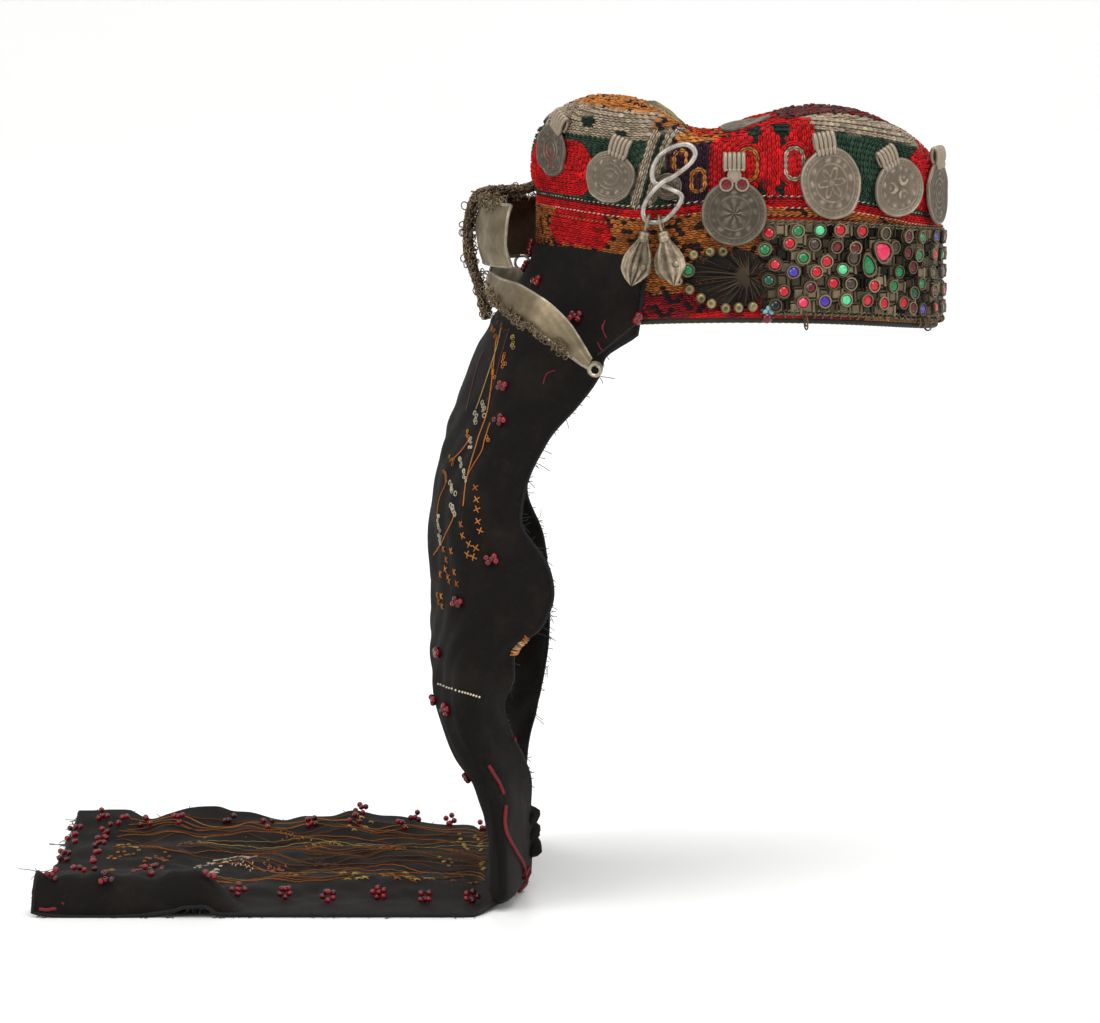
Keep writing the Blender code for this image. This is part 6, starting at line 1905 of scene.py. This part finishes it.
def on_grid(grid, row, column):
    """Points or directions read off a grid at fractions of its rows and columns."""
    row = np.clip(row, 0, grid.shape[0] - 1.001)
    column = np.clip(column, 0, grid.shape[1] - 1.001)
    i, j = row.astype(int), column.astype(int)
    down, across = (row - i)[..., None], (column - j)[..., None]
    upper = grid[i, j] * (1 - across) + grid[i, j + 1] * across
    lower = grid[i + 1, j] * (1 - across) + grid[i + 1, j + 1] * across
    return upper * (1 - down) + lower * down


def seen_on(grid, pixels):
    """Rows and columns of a grid that the photograph shows at pixels: the closest point of the side
    facing the camera, carried on along the grid's two directions there."""
    places, depth = photo_places(grid)
    down, across = np.gradient(places, axis=0), np.gradient(places, axis=1)
    spread = across[..., 0] * down[..., 1] - across[..., 1] * down[..., 0]
    cost = np.where(spread < -1e-4, 40 * depth, 1e7).ravel()
    flat = places.reshape(-1, 2)
    best = []
    for block in np.array_split(pixels, max(1, len(pixels) // 150)):
        away = ((block[:, None] - flat) ** 2).sum(axis=-1) + cost
        best.append(away.argmin(axis=1))
    row, column = np.divmod(np.concatenate(best), grid.shape[1])
    gap = pixels - places[row, column]
    a, b, area = down[row, column], across[row, column], spread[row, column]
    move_down = (b[:, 0] * gap[:, 1] - b[:, 1] * gap[:, 0]) / area
    move_across = (gap[:, 0] * a[:, 1] - gap[:, 1] * a[:, 0]) / area
    return row + np.clip(move_down, -1, 1), column + np.clip(move_across, -1, 1)


def lying_laws(grid):
    """Straight lines that turn the photograph's pixels into the lying cloth's rows and columns."""
    first = grid.shape[0] - LYING_STEPS
    places = photo_places(grid[first:])[0]
    middle = grid.shape[1] // 2
    row_law = np.polyfit(places[:, middle, 0], first + np.arange(LYING_STEPS), 1)
    inner = np.arange(grid.shape[1] // 5, grid.shape[1] * 4 // 5)
    column_law = np.polyfit(places[LYING_STEPS // 2, inner, 1], inner, 1)
    return row_law, column_law


def thread_run(run, count):
    """A smooth curve through a thread's places in the photograph."""
    places = np.array(run, float).reshape(-1, 2)
    at = np.linspace(0, len(places) - 1, count)
    return np.stack([smooth_between(range(len(places)), places[:, k], at) for k in (0, 1)], axis=-1)


def dress_tail():
    """The cloth with its hem, frayed ends, embroidery and beads, and the ruffles at its heel."""
    grid = tail_points()
    sides = cloth_sides(grid)
    rows, columns = grid.shape[:2]
    black = cloth_finish(
        "black satin cotton", (0.0060, 0.0046, 0.0038), (0.017, 0.0135, 0.011), 0.0006, 0.015, 0.74, 0.10
    )
    tail = piece("tail_cloth", [(grid, [grid_faces(rows, columns)])], black)
    solidify(tail, CLOTH_WALL, 1)
    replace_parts(tail, "tail_panel")
    edge = np.concatenate([grid[:, 0], grid[-1, 1:], grid[::-1, -1][1:]])
    out = np.concatenate([sides[:, 0], sides[-1, 1:], sides[::-1, -1][1:]])
    hem = tubes((edge + out * CLOTH_WALL / 2)[None], 0.0011, out[None], 6, dyes=np.array([BLACK]))
    thread = bpy.data.materials["embroidery thread"]
    dark = thread_finish("frayed thread", 0.15)
    fray = fray_part(grid, sides)
    hems = piece("tail_hem", [hem, fray], dark)
    parts = stitch_parts(grid, sides)
    stitches = piece("tail_embroidery", parts, thread)
    beads = piece("tail_beads", bead_parts(grid, sides), bpy.data.materials["set stones"])
    ruffles = dress_ruffles(black)


def fray_part(grid, sides):
    """Frayed ends along the cloth's edges, each bent by its own share of the way out and down."""
    count = FRAYED_ENDS
    pick = draw.random(count)
    row = draw.uniform(SEWN_STEPS + 4, grid.shape[0] - 2, count)
    column = np.where(pick < 0.55, 0.0, grid.shape[1] - 1.0)
    ends = pick > 0.86
    row = np.where(ends, grid.shape[0] - 1.0, row)
    column = np.where(ends, draw.uniform(0, grid.shape[1] - 1, count), column)
    here = on_grid(grid, row, column)
    inner_column = np.where(ends, column, np.where(column < 1, 3, column - 3))
    away = unit(here - on_grid(grid, np.where(ends, row - 3, row), inner_column))
    length = draw.uniform(0.0008, 0.0032, (count, 1, 1)) * (1 + 1.4 * (draw.random((count, 1, 1)) > 0.94))
    steps = np.linspace(0, 1, 5)[:, None]
    bow = draw.standard_normal((count, 1, 3)) * 0.6
    paths = here[:, None] + CLOTH_WALL / 2 * on_grid(sides, row, column)[:, None]
    paths = paths + length * steps * (away[:, None] + bow * steps + (0, 0, -0.35) * steps)
    paths[..., 2] = np.maximum(paths[..., 2], 0.0004 - TAIL_DROP)
    dyes = np.array([BLACK]) + 0.012 * draw.random((count, 3))
    return tubes(paths, 0.00019, (0.1, 1, 0.2), 4, dyes=dyes)


def stitch_parts(grid, sides):
    """Couched threads, little loops, bars and crosses, laid on the cloth where the photograph has
    them; those of the hanging stretch are repeated on its far half."""
    parts = []
    middle = grid.shape[1] - 1
    lift = CLOTH_WALL + 0.0003
    row_law, column_law = lying_laws(grid)
    for level, count, start, end, spread, dye in COUCHED_ROWS:
        x = np.linspace(start, end, 70)[None]
        wave = 1.9 * np.sin(x / 27 + level) + 0.9 * np.sin(x / 13 + 2 * level)
        own = 1.2 * np.sin(x / draw.uniform(9, 26, (count, 1)) + draw.uniform(0, 6, (count, 1)))
        y = level + wave + own + np.linspace(-spread, spread, count)[:, None]
        row, column = np.polyval(row_law, x + 0 * y), np.polyval(column_law, y)
        stand = lift + 0.0002 * np.sin(x)[..., None]
        paths = on_grid(grid, row, column) + on_grid(sides, row, column) * stand
        dyes = np.array(dye) * draw.uniform(0.20, 0.85, (count, 1))
        parts.append(tubes(paths, 0.00027, (0, 0, 1), 4, dyes=dyes))
    for dye, radius, run in HANG_THREADS:
        row, column = seen_on(grid, thread_run(run, 46))
        twins = (column, middle - column) if radius < 0.35 else (column,)
        for side in twins:
            out = on_grid(sides, row, side)
            path = on_grid(grid, row, side) + out * (CLOTH_WALL + 0.7 * radius * MM)
            parts.append(tubes(path[None], radius * MM, out[None], 6, dyes=np.array([dye])))
    for form, x0, y0, x1, y1, count, size, dye in MOTIF_ROWS:
        count = math.ceil(count * (0.80 if y0 > 800 else 0.60))
        share = (np.arange(count) + 0.5) / count
        pixels = np.stack([x0 + (x1 - x0) * share, y0 + (y1 - y0) * share], axis=-1)
        pixels = pixels + (0.9 if form == "loop" else 0.5) * draw.standard_normal(pixels.shape)
        if form == "cross":
            pixels += np.where(np.arange(count) % 2, 1.6, -1.6)[:, None] * (0, 1)
        row, column = seen_on(grid, pixels)
        if y0 > 800:
            pixels[:, 1] += 1.4 * draw.standard_normal(count)
            row, column = np.polyval(row_law, pixels[:, 0]), np.polyval(column_law, pixels[:, 1])
        twins = (column, middle - column) if y0 < 630 else (column,)
        for side in twins:
            away = on_grid(sides, row, side)
            here = on_grid(grid, row, side) + away * lift
            along = unit(on_grid(grid, row + 1, side) - on_grid(grid, row - 1, side))
            parts += motif_parts(form, here, away, along, size * MM, np.array([dye]))
    return parts


def motif_parts(form, here, away, along, size, dye):
    """Small rings, single bars across the cloth, or two bars crossed at an eighth of a turn."""
    count = len(here)
    across = np.cross(away, along)
    dyes = dye * draw.uniform(0.65, 1.25, (count, 1))
    if form == "loop":
        return [rings(here, away, size / 2 * draw.uniform(0.8, 1.2), 0.00026, 7, 3, dyes)]
    angle = draw.uniform(-0.25, 0.25, (count, 1)) + (math.pi / 2 if form == "bar" else 0.0)
    made = []
    for quarter in (0.0,) if form == "bar" else (math.pi / 4, -math.pi / 4):
        way = np.cos(angle + quarter) * along + np.sin(angle + quarter) * across
        path = here[:, None] + way[:, None] * size * np.array([-0.5, 0.0, 0.5])[:, None]
        path = path + away[:, None] * np.array([-0.0003, 0.0002, -0.0003])[:, None]
        made.append(tubes(path, 0.00030, away[:, None], 5, dyes=dyes))
    return made


def bead_parts(grid, sides):
    """Bunches of red beads: the first in the middle, the others on a small ring about it."""
    table = np.array(CLUSTER_ROWS, float)
    row, column = seen_on(grid, table[:, :2])
    here, away = on_grid(grid, row, column), on_grid(sides, row, column)
    along = unit(on_grid(grid, row, column + 1) - on_grid(grid, row, column - 1))
    places, dyes = [], []
    for number, count in enumerate(table[:, 2].astype(int)):
        angle = np.arange(count) * 2 * math.pi / max(count - 1, 1) + number
        reach = np.where(np.arange(count) > 0, 0.0026, 0.0) * draw.uniform(0.85, 1.2, count)
        level = np.array([1.0, 0.0, 0.0]) if abs(away[number, 2]) > 0.6 else along[number]
        flat = np.cos(angle)[:, None] * level + np.sin(angle)[:, None] * np.cross(away[number], level) * 0.6
        rise = CLOTH_WALL + 0.0011 + 0.0020 * (1 + np.sin(angle)) * (abs(away[number, 2]) > 0.6)
        places.append(here[number] + flat * reach[:, None] + away[number] * rise[:, None])
        dyes.append(np.array([RUBY]) * draw.uniform(0.08, 0.42, (count, 1)))
    parts = [balls(np.concatenate(places), 0.00155, np.concatenate(dyes), 8, 5)]
    row, column = seen_on(grid, thread_run((442, 684, 455, 688, 468, 692, 478, 695.5), 15))
    seeds = on_grid(grid, row, column) + on_grid(sides, row, column) * (CLOTH_WALL + 0.0004)
    parts.append(balls(seeds, 0.00055, np.array([CREAM]), 7, 5))
    return parts


def dress_ruffles(material):
    """Three loops of the cloth's frayed edge that stand out at the heel."""
    parts = []
    near = grid_faces(11, 9)
    for number, (drop, size) in enumerate(((0.862, 0.0062), (0.893, 0.0066), (0.925, 0.0074))):
        edge = hanging_points(np.array([[drop]]), np.array([[-1.0]]))[0, 0]
        angle = np.linspace(-1.9, 1.9, 11)[:, None]
        wide = np.linspace(-1, 1, 9)[None]
        ragged = 1 + 0.10 * np.cos(wide * 7 + number) + 0.07 * np.sin(angle * 5 + wide * 9)
        reach = size * np.sqrt(1 - 0.93 * wide**2) * ragged
        x = edge[0] - 0.0015 + reach * np.cos(angle)
        z = edge[2] + reach * 0.72 * np.sin(angle)
        y = edge[1] + 0.0050 * wide + 0.0012 * np.sin(angle * 3) + 0 * x
        parts.append((np.stack([x, y, z], axis=-1), [near[:, ::-1]]))
    made = piece("heel_ruffles", parts, material)
    return solidify(made, 0.0012, 0)


bpy.context.scene.view_settings.view_transform = "Standard"
set_camera()
set_light()
set_floor()
dress_wall()
dress_crown()
dress_top()
dress_band()
dress_coins()
dress_hook()
dress_jewels()
dress_fan()
dress_nape()
dress_tail()
